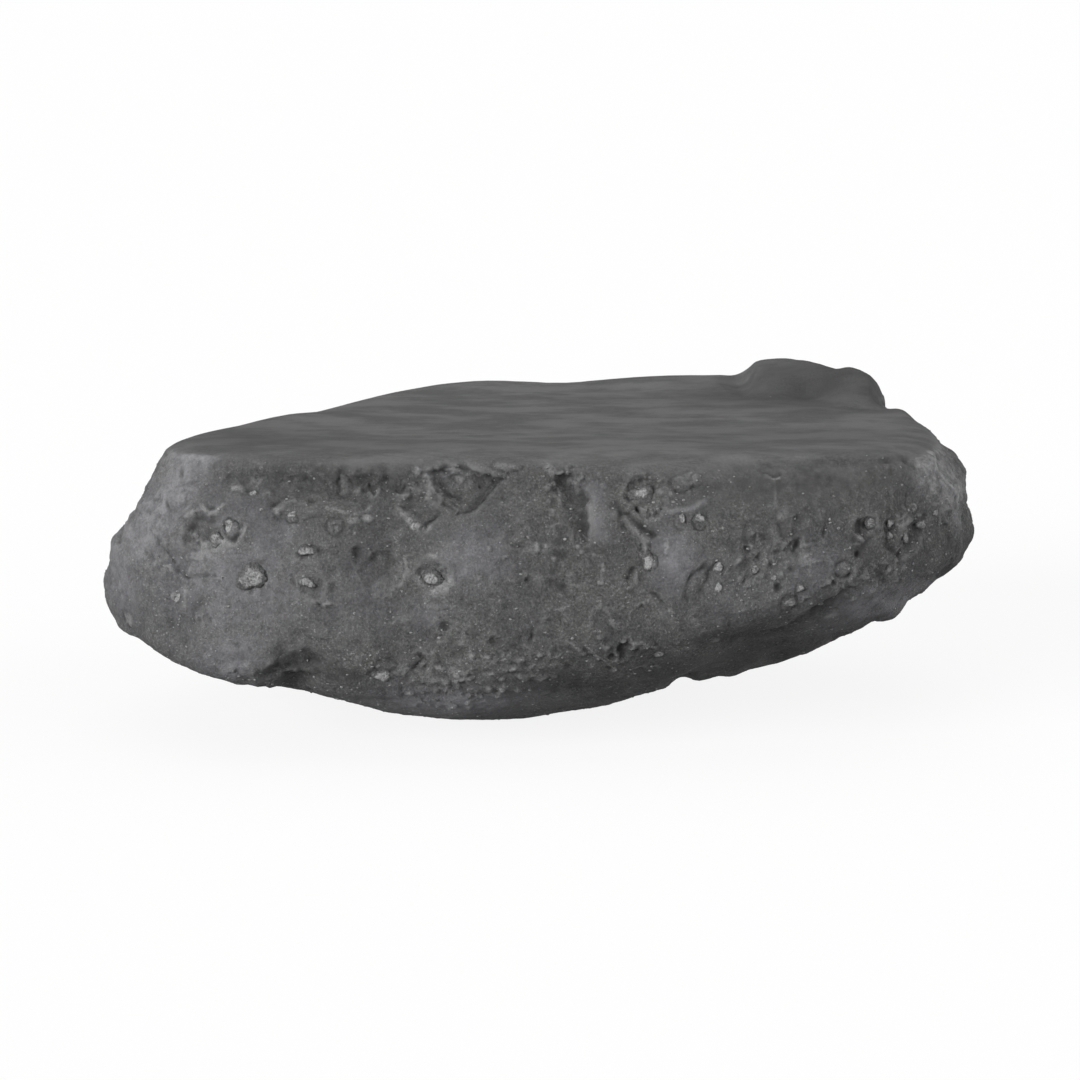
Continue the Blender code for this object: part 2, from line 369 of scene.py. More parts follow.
def average_facing(normals):
    """The unit normal of a patch as a whole."""
    outward = normals.mean(0)
    return outward / np.linalg.norm(outward)


def along_and_beside(away, outward):
    """How far along an axis each point is, and how far beside it."""
    height = away @ outward
    return height, np.linalg.norm(away - height[:, None] * outward, axis=1)


def store(mesh, name, values):
    """Keeps a number for each point as an attribute, which a material or node tree reads."""
    layer = mesh.attributes.new(name, "FLOAT", "POINT")
    layer.data.foreach_set("value", values.astype(np.float32))


def fill_sockets(mesh):
    """Levels the skin over each grain's socket, so that the worn grain meets the stone without a gap."""
    points = points_of(mesh)
    facing = normals_of(mesh)
    for node in sorted(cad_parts):
        if node == "stone_body":
            continue
        grain = points_of(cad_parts[node].data)
        centre = (grain.min(0) + grain.max(0)) / 2
        radius = 0.5 * np.ptp(grain, axis=0).max()
        near = np.nonzero(np.linalg.norm(points - centre, axis=1) < radius + 1.4 * MM)[0]
        outward = average_facing(facing[near])
        height, beside = along_and_beside(points[near] - centre, outward)
        around = beside > radius + 0.7 * MM
        filled = 1 - smooth_step(radius + 0.3 * MM, radius + 0.7 * MM, beside)
        points[near] += ((height[around].mean() - height) * filled)[:, None] * outward
    set_points(mesh, points)


class Skin:
    """The stone's surface as arrays, with the marks that are worked into it."""

    def __init__(self, mesh):
        self.points = points_of(mesh)
        self.normals = normals_of(mesh)
        count = len(self.points)
        self.out = np.zeros(count)
        self.tones = {name: np.zeros(count) for name in ("dust_and_highlight", "shade_and_dark_tone", "highlight_and_pale_tone", "relief_shade", "rubbed")}
        self.front = smooth_step(0.10, -0.15, self.normals[:, 1]) * (self.points[:, 1] < 0)
        self.front *= smooth_step(0.95, 0.75, self.normals[:, 2])
        self.strewn = np.zeros(count)
        self.wander()

    def wander(self):
        """The front's coordinates, made irregular, and how unevenly the marks are worn."""
        drift = []
        for axis in (0, 2):
            bend = noise_at(self.points, 2.6 * MM, 71 + axis) * 0.34
            bend += noise_at(self.points, 1.0 * MM, 81 + axis) * 0.24
            bend += noise_at(self.points, 0.5 * MM, 91 + axis) * 0.13
            drift.append(self.points[:, axis] + bend * MM)
        self.across, self.above = drift
        self.wear = np.clip(0.75 + 0.75 * layered_noise(self.points, 1.1 * MM, 101), 0.1, 1.3)
        self.mottle = np.clip(0.70 + 1.0 * layered_noise(self.points, 0.7 * MM, 111), 0.0, 1.15)

    def settle(self, mesh):
        """Moves the points by the marks so far, so that the next marks start from the new form."""
        before = self.points
        set_points(mesh, before + self.normals * (self.out * self.grounded())[:, None])
        self.points = points_of(mesh)
        self.normals = normals_of(mesh)
        self.out = np.zeros(len(before))
        self.wander()

    def grounded(self):
        """0 on the foot, 1 above it."""
        return smooth_step(0.0, FOOT_FADE, self.points[:, 2])

    def spread(self, place, size, tilt=0.0):
        """Across and above a mark's centre, in half sizes; size is in millimetres, tilt in degrees."""
        turn = math.radians(tilt)
        across = self.across - place[0] * HALF_LENGTH
        above = self.above - place[1] * TOP_HEIGHT
        along = (across * math.cos(turn) + above * math.sin(turn)) / (0.5 * size[0] * MM)
        beside = (above * math.cos(turn) - across * math.sin(turn)) / (0.5 * size[1] * MM)
        return along, beside

    def raise_tone(self, name, amount):
        self.tones[name] = np.maximum(self.tones[name], amount)

    def tone(self, name, amount):
        """Raises a tone on the front, unevenly."""
        self.raise_tone(name, amount * self.front * (0.3 + 0.7 * self.mottle))

    def move(self, amount, worn=0.4):
        """Moves the surface out; worn is how much the wear's unevenness shows."""
        self.out += amount * MM * self.front * (1 + worn * (self.wear - 1))

    def lump(self, place, size, lift, edge=1.0):
        """A lump anywhere on the stone, or a hollow: centre in shares, size in millimetres.

        A small edge makes it bold.
        """
        centre = np.array([place[0] * HALF_LENGTH, place[1] * HALF_DEPTH, place[2] * TOP_HEIGHT])
        away = np.linalg.norm((self.points - centre) / (0.5 * MM * np.array(size)), axis=1)
        away += 0.10 * noise_at(self.points, 3.0 * MM, 131)
        self.out += lift * MM * smooth_step(1.0, 1.0 - edge, away)

    def zone(self, place, size):
        """1 at a place on the front, falling softly to 0."""
        along, beside = self.spread(place, size)
        return np.exp(-1.2 * (along**2 + beside**2)) * self.front

    def zone_shade(self, place, size, amount):
        """A soft dark patch of painted shade."""
        self.tone("shade_and_dark_tone", amount * self.zone(place, size))

    def zone_light(self, place, size, amount):
        """A soft patch of painted light, partly paler stone."""
        self.tone("highlight_and_pale_tone", amount * self.zone(place, size))

    def swell(self, place, size, lift, tilt=0.0, highlight_and_pale_tone=0.0, shade_and_dark_tone=0.0):
        """A soft bulge, or a soft hollow when lift is negative. Its highlight tone paints light on it,
        partly as paler stone, and its shade tone paints shade.
        """
        along, beside = self.spread(place, size, tilt)
        near = np.exp(-1.6 * (along**2 + beside**2))
        self.move(lift * near)
        self.tone("highlight_and_pale_tone", highlight_and_pale_tone * near)
        self.tone("shade_and_dark_tone", shade_and_dark_tone * near)

    def pit(self, place, size, depth, tilt=0.0, rim=0.1, lean=0.6, shade_and_dark_tone=0.5, dust_and_highlight=0.0):
        """A gas hole's bowl. A positive lean makes its upper left wall deep and dark: the bowl is
        darkened with painted shade, most at the upper left. Dust lightens the lower right wall near the
        rim, which faces the light, as pale dust and painted highlight.
        """
        along, beside = self.spread(place, size, tilt)
        away = np.hypot(along, beside)
        bowl = np.clip(1 - away**2, 0, 1) ** 0.7
        turned = np.clip((beside - along) / 1.4, -1, 1)
        self.move(rim * np.exp(-(((away - 1.12) / 0.17) ** 2)) - depth * bowl * (1 + lean * turned))
        self.tone("shade_and_dark_tone", 0.7 * shade_and_dark_tone * bowl * (0.5 + 0.5 * turned))
        self.tone("dust_and_highlight", dust_and_highlight * np.exp(-(((away - 0.85) / 0.25) ** 2)) * np.clip(-1.6 * turned, 0, 1))

    def ring(self, place, size, width, depth, tilt=0.0, shade_and_dark_tone=0.5, dust_and_highlight=0.0):
        """A thin ring groove, darkened with painted shade; dust lightens what it surrounds."""
        along, beside = self.spread(place, size, tilt)
        away = np.hypot(along, beside)
        groove = np.exp(-(((away - 1) * 0.25 * (size[0] + size[1]) / width) ** 2))
        self.move(-depth * groove)
        self.tone("shade_and_dark_tone", shade_and_dark_tone * groove)
        self.tone("dust_and_highlight", dust_and_highlight * np.clip(1.4 - 1.4 * away, 0, 1) ** 0.6)

    def bit(self, place, size, lift=0.25, tilt=0.0, dust_and_highlight=0.8):
        """A small raised pale bit."""
        along, beside = self.spread(place, size, tilt)
        dome = np.clip(1 - along**2 - beside**2, 0, 1) ** 0.6
        self.move(lift * dome)
        self.tone("dust_and_highlight", dust_and_highlight * dome)

    def from_line(self, places):
        """How far each point is from a line through places, and its side: positive on the left."""
        best = np.full(len(self.points), 1.0)
        side = np.zeros(len(self.points))
        ends = [(place[0] * HALF_LENGTH, place[1] * TOP_HEIGHT) for place in places]
        for (x0, z0), (x1, z1) in zip(ends, ends[1:]):
            dx, dz = x1 - x0, z1 - z0
            share = ((self.across - x0) * dx + (self.above - z0) * dz) / (dx * dx + dz * dz)
            share = np.clip(share, 0, 1)
            off_x = self.across - x0 - share * dx
            off_z = self.above - z0 - share * dz
            away = np.hypot(off_x, off_z)
            nearer = away < best
            best = np.where(nearer, away, best)
            side = np.where(nearer, np.sign(dx * off_z - dz * off_x), side)
        return best / MM, side

    def line(self, places, width, lift, shade_and_dark_tone=0.0, dust_and_highlight=0.0, highlight_and_pale_tone=0.0):
        """A ridge along a line, or a groove when lift is negative. Its shade tone paints shade into a
        groove; its dust and highlight tones give pale dust and painted highlights along a ridge.
        """
        away, _ = self.from_line(places)
        near = np.exp(-((away / width) ** 2))
        self.move(lift * near, worn=1.0)
        self.tone("shade_and_dark_tone", shade_and_dark_tone * near)
        self.tone("dust_and_highlight", dust_and_highlight * near * self.mottle)
        self.tone("highlight_and_pale_tone", highlight_and_pale_tone * near)

    def facet(self, corners, ramps, drop, shade_and_dark_tone=0.3):
        """A sunken flat inside corners given anticlockwise; each side's ramp is how wide its slope is.
        The flat is darkened with painted shade.
        """
        inside = np.ones(len(self.points))
        ends = [(corner[0] * HALF_LENGTH, corner[1] * TOP_HEIGHT) for corner in corners]
        for (x0, z0), (x1, z1), ramp in zip(ends, ends[1:] + ends[:1], ramps):
            dx, dz = x1 - x0, z1 - z0
            off = (dx * (self.above - z0) - dz * (self.across - x0)) / math.hypot(dx, dz)
            inside *= smooth_step(0.0, ramp * MM, off)
        self.move(-drop * inside)
        self.tone("shade_and_dark_tone", shade_and_dark_tone * inside)

    def rubble(self, place, size, count, seed, dust_and_highlight=0.5):
        """Bits of broken rock strewn over an oval."""
        dice = np.random.default_rng(seed)
        for _ in range(count):
            turn = dice.uniform(0, 2 * math.pi)
            off = 0.5 * MM * math.sqrt(dice.uniform(0, 1))
            along = place[0] + off * size[0] * math.cos(turn) / HALF_LENGTH
            up = place[1] + off * size[1] * math.sin(turn) / TOP_HEIGHT
            shape = (dice.uniform(0.5, 1.4), dice.uniform(0.3, 0.7))
            lift = dice.uniform(0.12, 0.30)
            tilt = dice.uniform(-90, 90)
            self.bit((along, up), shape, lift, tilt, dust_and_highlight * dice.uniform(0.1, 1.0))

    def step(self, places, reach, drop, shade_and_dark_tone=0.6, edge=0.15):
        """A ledge: left of the line the surface drops sharply, then comes back over its reach. Painted
        shade darkens the dropped side near the line.
        """
        away, side = self.from_line(places)
        inside = smooth_step(-edge, edge, away * side)
        near = 1 - smooth_step(0.0, reach, away)
        self.move(-drop * inside * near)
        self.tone("shade_and_dark_tone", shade_and_dark_tone * inside * np.exp(-((away / (0.35 * reach)) ** 2)))


def cell_pits(points, size, seed, share, radii):
    """Round bowls from 0 to 1 deep, at most one in each cell of a lattice, and their rims."""
    scaled = points / size
    home = np.floor(scaled).astype(np.int64)
    nearest = np.full(len(points), 9.0)
    for number in range(27):
        cell = home + np.array([number % 3 - 1, (number // 3) % 3 - 1, number // 9 - 1])
        centre = cell + np.stack([0.5 + 0.35 * lattice_value(cell, seed + axis) for axis in range(3)], 1)
        chosen = 0.5 + 0.5 * lattice_value(cell, seed + 3) < share
        radius = radii[0] + (radii[1] - radii[0]) * (0.5 + 0.5 * lattice_value(cell, seed + 4))
        away = np.linalg.norm((scaled - centre) * size, axis=1) / radius
        nearest = np.minimum(nearest, np.where(chosen, away, 9.0))
    return np.clip(1 - nearest**2, 0, 1), np.exp(-(((nearest - 1.15) / 0.2) ** 2))


def worm_lines(points, size, seed, width):
    """Thin winding lines, broken into short lengths, from 0 to 1."""
    course = np.exp(-((noise_at(points, size, seed) / width) ** 2))
    return course * smooth_step(0.15, 0.40, noise_at(points, size * 1.3, seed + 7))


def two_worms(points, wide, narrow, seed):
    """Winding lines of two sizes."""
    fine = worm_lines(points, narrow, seed + 50, 0.11)
    return np.maximum(worm_lines(points, wide, seed, 0.09), 0.8 * fine)


# Soft bulges and hollows on the front, with painted highlights and painted shade: place in shares, size
# in millimetres, lift, highlight and pale tone, shade and dark tone.
BROAD_FORMS = [
    ((-0.66, 0.62), (26, 22), 0, 0.8, 0),
    ((-0.42, 0.6), (14, 14), 0, 0.35, 0),
    ((0.66, 0.42), (14, 5), 0.3, 0.55, 0),
    ((0.58, 0.66), (14, 9), 0, 0.42, 0),
    ((0.55, 0.93), (34, 8), 0, 0, 0.85),
    ((-0.45, 0.93), (30, 7), 0, 0, 0.68),
    ((0.22, 0.32), (12, 6), 0, 0, 0.2),
    ((0.93, 0.62), (9, 12), 0, 0, 0.36),
    ((-0.66, 0.36), (12, 10), 0.8, 1, 0),
    ((-0.93, 0.56), (9, 16), 0.2, 0.85, 0),
    ((-0.5, 0.35), (9, 9), -1, 0, 0.46),
    ((-0.15, 0.69), (12, 10), 0.5, 0.8, 0),
    ((-0.22, 0.53), (9, 6), 0.2, 0.55, 0),
    ((0.285, 0.7), (7, 9.5), 0.6, 0.85, 0),
    ((0.5, 0.58), (26, 9), 0, 0.3, 0),
    ((-0.383, 0.905), (9, 5), -0.7, 0, 0.2),
    ((-0.342, 0.65), (11, 9), -0.6, 0, 0.1),
    ((-0.54, 0.27), (10, 5), -1, 0, 0.45),
    ((0.09, 0.23), (17, 5), -0.8, 0, 0.4),
    ((0.5, 0.67), (11, 9), -0.4, 0, 0),
    ((0.1, 0.66), (11, 9), -0.3, 0, 0.12),
    ((0.46, 0.4), (14, 4), -0.9, 0, 0.35),
]

# Lumps and hollows that give the outline: place, size, lift, and a bold one's edge.
OUTLINE_LUMPS = [
    ((0.95, -0.1, 0.86), (8, 12, 6), 0.8, 0.7),
    ((0.985, -0.1, 0.62), (5, 12, 7), 0.4),
    ((0.985, -0.1, 0.75), (4, 10, 3), -0.4),
    ((-0.715, -0.75, 0.245), (6, 12, 4), -0.8),
    ((-0.6, -0.86, 0.255), (6, 10, 3.5), 1.2),
    ((-0.525, -0.9, 0.25), (7, 12, 4.5), -1.2),
    ((0.24, -0.66, 0.2), (8, 12, 4), 0.7),
    ((0.33, -0.1, 0.12), (5, 44, 8), -1.5, 0.7),
    ((0.07, -0.5, 0.08), (12, 30, 7), -0.7),
    ((0.445, -0.22, 0.15), (6, 12, 4), 0.6),
    ((0.545, -0.3, 0.24), (6, 36, 7), -1.3, 0.7),
    ((0.785, -0.46, 0.425), (8, 14, 5), 1.2),
    ((0.905, -0.25, 0.5), (5, 30, 6), -1.2),
    ((0.676, -0.35, 0.32), (4, 30, 5), -0.8),
    ((0.815, 0.44, 1.03), (5, 10, 5), -0.9),
    ((0.845, 0.25, 0.98), (5, 12, 4), 0.7),
    ((-0.55, 0.02, 1), (26, 12, 5), 0.45),
    ((0.49, 0.7, 1.05), (7, 16, 6), -1.3),
    ((0.83, 0.45, 1.06), (6, 12, 6), -0.6),
    ((-0.925, -0.46, 0.64), (9, 20, 12), 1.6),
    ((-0.885, -0.52, 0.77), (5, 16, 5), 0.7),
    ((-0.995, -0.3, 0.435), (5, 16, 5), -0.5),
    ((-0.94, -0.5, 0.36), (6, 14, 4), 0.7),
    ((0.575, 0.7, 1.11), (9, 12, 4), -0.6),
    ((0.675, 0.66, 1.07), (9, 12, 7), 1),
    ((0.775, 0.55, 1.05), (9, 12, 8), 0.8, 0.6),
    ((0.745, 0.28, 1), (9, 3, 3), -0.4),
]


def form_stone(skin):
    """The broad forms that the CAD body only hints at."""
    up = skin.above / TOP_HEIGHT
    along = skin.across / HALF_LENGTH
    span = smooth_step(-0.8, -0.62, along) * smooth_step(0.62, 0.1, along)
    skin.move(-1.2 * span * np.exp(-(((up - 0.925) / 0.045) ** 2)))
    skin.move(0.4 * span * np.exp(-(((up - 0.99) / 0.018) ** 2)))
    skin.move(-0.4 * (1 - span) * np.exp(-(((up - 0.9) / 0.06) ** 2)))
    skin.move(-0.8 * smooth_step(0.1, 0.5, along) * np.exp(-(((up - 1) / 0.03) ** 2)))
    for place, size, lift, highlight_and_pale_tone, shade_and_dark_tone in BROAD_FORMS:
        skin.swell(place, size, lift, highlight_and_pale_tone=highlight_and_pale_tone, shade_and_dark_tone=shade_and_dark_tone)
    # A painted highlight with pale dust along the right end, and a groove beside it darkened with painted
    # shade.
    skin.line([(0.868, 0.915), (0.89, 0.87), (0.915, 0.815)], 2.2, 0.65, highlight_and_pale_tone=1, dust_and_highlight=1.2)
    skin.line([(0.895, 0.84), (0.92, 0.77), (0.94, 0.7)], 1, 0.2, highlight_and_pale_tone=1, dust_and_highlight=0.4)
    skin.line([(0.885, 0.93), (0.925, 0.85), (0.95, 0.72)], 0.8, -0.5, shade_and_dark_tone=0.25)
    for place, size, lift, *edge in OUTLINE_LUMPS:
        skin.lump(place, size, lift, *edge)
    # A ridge at the left end with painted highlight, partly paler stone; below it a ledge with painted
    # shade.
    skin.line([(-0.745, 0.985), (-0.8, 0.855), (-0.872, 0.697)], 2.8, 0.5, highlight_and_pale_tone=1, dust_and_highlight=0.3)
    skin.step([(-0.93, 0.8), (-0.895, 0.765), (-0.86, 0.7)], 3, 0.5, shade_and_dark_tone=0.2, edge=0.4)


def mark_big_pit(skin):
    """The big pit near the left end, with a ring and a crescent beside it."""
    skin.pit((-0.722, 0.742), (5, 4), 0.55, rim=0.12, lean=0.6, shade_and_dark_tone=0.5, dust_and_highlight=0.7)
    skin.rubble((-0.722, 0.735), (4.4, 3), 8, 51, dust_and_highlight=0.5)
    skin.bit((-0.715, 0.724), (2.4, 1.3), 0.15, dust_and_highlight=0.35)
    skin.bit((-0.748, 0.728), (1.4, 1), 0.15, dust_and_highlight=0.3)
    skin.bit((-0.695, 0.745), (1.2, 2), 0.15, dust_and_highlight=0.45)
    skin.ring((-0.662, 0.776), (1.8, 2.3), 0.16, 0.35, shade_and_dark_tone=0.9)
    skin.line([(-0.628, 0.785), (-0.628, 0.762), (-0.642, 0.742), (-0.664, 0.732)], 0.24, 0.25, dust_and_highlight=0.9)
    skin.line([(-0.64, 0.79), (-0.64, 0.765), (-0.655, 0.75)], 0.2, -0.25, shade_and_dark_tone=0.7)


def mark_lens_pits(skin):
    """The pits of the knobbly grain and of the two lenses."""
    skin.pit((-0.612, 0.62), (4.4, 4.5), 0.3, rim=0.08, lean=-0.3, shade_and_dark_tone=0.4)
    skin.rubble((-0.612, 0.615), (4, 3.6), 8, 53, dust_and_highlight=0.6)
    skin.rubble((-0.79, 0.64), (7, 6), 16, 55, dust_and_highlight=0.45)
    skin.rubble((-0.47, 0.585), (4, 3), 6, 57, dust_and_highlight=0.6)
    skin.pit((-0.493, 0.712), (3.6, 2.1), 0.35, rim=0.06, shade_and_dark_tone=0.7)
    skin.pit((-0.487, 0.607), (3.6, 2.5), 0.4, rim=0.08, lean=-0.5, shade_and_dark_tone=0.7)
    skin.bit((-0.451, 0.551), (1.9, 0.9), 0.25)
    skin.line([(-0.475, 0.56), (-0.462, 0.545), (-0.44, 0.54)], 0.2, -0.25, shade_and_dark_tone=0.7)


def mark_left_rim(skin):
    """Rings, a hollow and a thin shelf below the rim."""
    skin.ring((-0.437, 0.795), (2.4, 2.1), 0.2, 0.22, shade_and_dark_tone=0.6)
    skin.ring((-0.432, 0.79), (1.2, 1), 0.15, 0.15, shade_and_dark_tone=0.5, dust_and_highlight=0.3)
    skin.ring((-0.422, 0.916), (1.5, 2.6), 0.24, 0.3, tilt=12, shade_and_dark_tone=0.6, dust_and_highlight=0.35)
    skin.swell((-0.37, 0.93), (5, 3.6), -0.4, shade_and_dark_tone=0.45)
    skin.rubble((-0.37, 0.915), (4, 3), 6, 45, dust_and_highlight=0.4)
    skin.line([(-0.37, 0.895), (-0.355, 0.88), (-0.345, 0.9)], 0.25, 0.3, dust_and_highlight=0.6)
    skin.bit((-0.395, 0.818), (1.5, 0.8), 0.3, dust_and_highlight=1)
    skin.bit((-0.366, 0.826), (1.1, 1), 0.3, dust_and_highlight=1)
    shelf = [(-0.46, 0.855), (-0.425, 0.845), (-0.4, 0.838), (-0.372, 0.845), (-0.358, 0.862)]
    skin.line(shelf, 0.2, 0.18, dust_and_highlight=0.6)


def mark_worn_pits(skin):
    """Two shallow pits, with curved ridges right of them."""
    skin.pit((-0.382, 0.705), (2.2, 2.4), 0.3, lean=1, shade_and_dark_tone=0.6)
    skin.pit((-0.337, 0.655), (5, 4.4), 0.25, rim=0.1, lean=0.5, shade_and_dark_tone=0.3, dust_and_highlight=0.3)
    skin.line([(-0.285, 0.705), (-0.281, 0.665), (-0.29, 0.625), (-0.312, 0.59)], 0.22, 0.18, dust_and_highlight=0.55)
    skin.line([(-0.292, 0.7), (-0.289, 0.665), (-0.298, 0.628)], 0.16, -0.15, shade_and_dark_tone=0.5)
    skin.line([(-0.352, 0.58), (-0.335, 0.567), (-0.315, 0.58)], 0.2, 0.18, dust_and_highlight=0.6)


def mark_left_crumbs(skin):
    """Short ridges and crumbs below the left part of the rim."""
    skin.line([(-0.709, 0.829), (-0.692, 0.838), (-0.68, 0.848)], 0.25, 0.25, dust_and_highlight=0.8)
    skin.line([(-0.716, 0.845), (-0.7, 0.85)], 0.2, -0.3, shade_and_dark_tone=0.8)
    skin.bit((-0.72, 0.838), (0.8, 0.8), 0.3)
    skin.line([(-0.762, 0.812), (-0.745, 0.822)], 0.3, 0.25, dust_and_highlight=0.9)
    skin.line([(-0.665, 0.898), (-0.65, 0.903), (-0.637, 0.893)], 0.22, 0.2, dust_and_highlight=0.8)
    skin.line([(-0.562, 0.845), (-0.548, 0.862), (-0.529, 0.876)], 0.35, 0.35, dust_and_highlight=0.35)
    skin.bit((-0.562, 0.845), (0.9, 0.7), 0.1, dust_and_highlight=0.9)
    skin.line([(-0.575, 0.855), (-0.56, 0.872), (-0.545, 0.885)], 0.25, -0.35, shade_and_dark_tone=0.8)
    skin.ring((-0.53, 0.822), (1.7, 1.5), 0.16, 0.2, shade_and_dark_tone=0.7)


def mark_left_cracks(skin):
    """The forked crack at the left end and the small marks around it."""
    for course in (
        [(-0.761, 0.622), (-0.8, 0.662), (-0.83, 0.7), (-0.842, 0.735)],
        [(-0.761, 0.622), (-0.735, 0.628), (-0.7, 0.622)],
        [(-0.8, 0.662), (-0.79, 0.63), (-0.761, 0.622)],
    ):
        skin.line(course, 0.24, -0.2, shade_and_dark_tone=0.5)
    skin.line([(-0.764, 0.605), (-0.768, 0.56), (-0.768, 0.505)], 0.2, 0.2, dust_and_highlight=0.75)
    skin.ring((-0.915, 0.425), (1.3, 2.3), 0.2, 0.2, shade_and_dark_tone=0.4, dust_and_highlight=0.6)
    skin.bit((-0.79, 0.545), (0.8, 1.2), 0.25, dust_and_highlight=0.9)
    skin.line([(-0.87, 0.56), (-0.852, 0.56), (-0.835, 0.565), (-0.815, 0.562)], 0.2, 0.15, dust_and_highlight=0.5)
    skin.swell((-0.785, 0.44), (6, 3.5), -0.4, shade_and_dark_tone=0.3)
    skin.pit((-0.93, 0.69), (1, 3), 0.3, shade_and_dark_tone=0.5)


def mark_lower_left(skin):
    """The ledge and the shaded hollow at the lower left."""
    skin.step([(-0.6, 0.235), (-0.56, 0.3), (-0.5, 0.33)], 3, 0.5, shade_and_dark_tone=0.35, edge=0.4)
    skin.ring((-0.332, 0.348), (2.7, 1.7), 0.18, 0.2, shade_and_dark_tone=0.5)
    shaded = [(-0.578, 0.45), (-0.588, 0.29), (-0.48, 0.235)]
    shaded += [(-0.34, 0.25), (-0.34, 0.36), (-0.47, 0.42)]
    skin.facet(shaded, (1.3, 2, 3, 3, 3, 3), 0.22, shade_and_dark_tone=0.8)


def shade_left_end(skin):
    """The big pit's rim, darkened with painted shade, and its pale floor; a patch of painted shade and
    one of painted light at the left end.
    """
    skin.line([(-0.753, 0.766), (-0.735, 0.804), (-0.703, 0.808)], 0.45, -0.35, shade_and_dark_tone=0.8)
    skin.line([(-0.745, 0.748), (-0.714, 0.722), (-0.675, 0.735)], 0.45, 0.15, dust_and_highlight=0.9)
    skin.rubble((-0.835, 0.642), (3.6, 2.4), 8, 59, dust_and_highlight=1)
    skin.zone_shade((-0.915, 0.44), (8, 6), 0.4)
    skin.zone_light((-0.935, 0.61), (8, 7), 0.45)


def mark_scoop(skin):
    """The scoop below the rim: sharp at its lower right, with rubble at its left."""
    scoop = [(-0.262, 0.985), (-0.245, 0.905), (-0.215, 0.872), (-0.178, 0.838)]
    scoop += [(-0.14, 0.858), (-0.083, 0.942), (-0.15, 0.985), (-0.2, 1.01)]
    skin.facet(scoop, (2.2, 1.8, 0.7, 0.4, 0.35, 1, 1.2, 2), 0.8, shade_and_dark_tone=0.08)
    skin.swell((-0.215, 0.945), (6, 4), 0.15, highlight_and_pale_tone=0.6)
    # Painted shade along the scoop's sharp lower right edge and on its floor at the right.
    skin.line([(-0.178, 0.84), (-0.143, 0.856), (-0.112, 0.892), (-0.083, 0.94)], 0.26, -0.55, shade_and_dark_tone=1.3)
    skin.line([(-0.217, 0.872), (-0.2, 0.862), (-0.186, 0.848)], 0.22, -0.3, shade_and_dark_tone=0.8)
    skin.line([(-0.198, 1.008), (-0.172, 0.992), (-0.158, 0.975)], 0.3, -0.25, shade_and_dark_tone=0.5)
    skin.zone_shade((-0.13, 0.895), (5, 4), 0.45)
    skin.rubble((-0.21, 0.935), (7, 4.6), 30, 3, dust_and_highlight=0.75)
    skin.rubble((-0.16, 0.945), (3, 2.4), 6, 9, dust_and_highlight=0.45)
    skin.line([(-0.2, 0.985), (-0.185, 0.96), (-0.16, 0.945)], 0.28, 0.25, dust_and_highlight=0.55)


def mark_scoop_pit(skin):
    """The pit below the scoop, with its pale floor."""
    skin.line([(-0.3, 0.9), (-0.285, 0.918), (-0.27, 0.905)], 0.22, -0.3, shade_and_dark_tone=0.8)
    skin.line([(-0.32, 0.893), (-0.3, 0.888), (-0.28, 0.892)], 0.18, 0.15, dust_and_highlight=0.5)
    skin.pit((-0.262, 0.838), (4, 4.2), 0.5, rim=0.05, lean=0.3, shade_and_dark_tone=0.45)
    skin.line([(-0.292, 0.851), (-0.284, 0.826), (-0.27, 0.806), (-0.254, 0.808)], 0.45, 0.3, dust_and_highlight=1.3)
    skin.line([(-0.256, 0.797), (-0.24, 0.793)], 0.4, 0.25, dust_and_highlight=1.3)
    skin.line([(-0.222, 0.845), (-0.232, 0.822), (-0.243, 0.806)], 0.24, -0.4, shade_and_dark_tone=1)
    skin.pit((-0.247, 0.795), (0.9, 0.6), 0.5, shade_and_dark_tone=1.4)


def mark_ring_pit(skin):
    """The pit of the ring pit grain, pale below."""
    skin.pit((-0.225, 0.641), (4.4, 3.9), 0.4, rim=0.15, lean=0.4, shade_and_dark_tone=0.5, dust_and_highlight=0.9)
    skin.rubble((-0.228, 0.64), (3.4, 3), 7, 12, dust_and_highlight=0.6)
    skin.bit((-0.232, 0.712), (1.6, 0.6), 0.2, dust_and_highlight=0.9)
    skin.line([(-0.262, 0.64), (-0.252, 0.612), (-0.228, 0.598), (-0.2, 0.608)], 0.3, 0.3, dust_and_highlight=0.9)


def mark_gouge(skin):
    """The long gouge, and the small hollows at the rim beside it."""
    skin.ring((-0.073, 0.98), (3.4, 1.3), 0.2, 0.25, shade_and_dark_tone=0.6, dust_and_highlight=0.25)
    for place in ((0.068, 0.978), (0.092, 0.975)):
        skin.pit(place, (1.3, 0.9), 0.2, shade_and_dark_tone=0.4)
    gouge = [(0, 0.985), (0.016, 0.9), (0.048, 0.79), (0.08, 0.734), (0.102, 0.745)]
    gouge += [(0.109, 0.82), (0.102, 0.9), (0.076, 0.955), (0.04, 0.985)]
    skin.facet(gouge, (3, 2.6, 1.3, 0.8, 0.4, 0.4, 0.9, 2.4, 3), 0.66, shade_and_dark_tone=0.1)
    # Painted shade inside the gouge.
    skin.swell((0.084, 0.81), (2.8, 7), -0.2, shade_and_dark_tone=0.55)
    skin.zone_shade((0.01, 0.79), (9, 11), 0.22)
    skin.rubble((0.035, 0.9), (2.6, 6), 14, 17, dust_and_highlight=0.45)
    skin.line([(0.006, 1.005), (0.018, 0.975), (0.028, 0.95)], 0.35, 0.2, dust_and_highlight=0.5)
    skin.rubble((0.05, 0.94), (4.4, 3), 14, 15, dust_and_highlight=0.55)
    skin.rubble((0.08, 0.785), (1.6, 2), 3, 16, dust_and_highlight=0.35)
    # A painted highlight along the gouge's right lip.
    skin.line([(0.116, 0.905), (0.124, 0.85), (0.12, 0.79)], 1.1, 0.22, highlight_and_pale_tone=0.55)


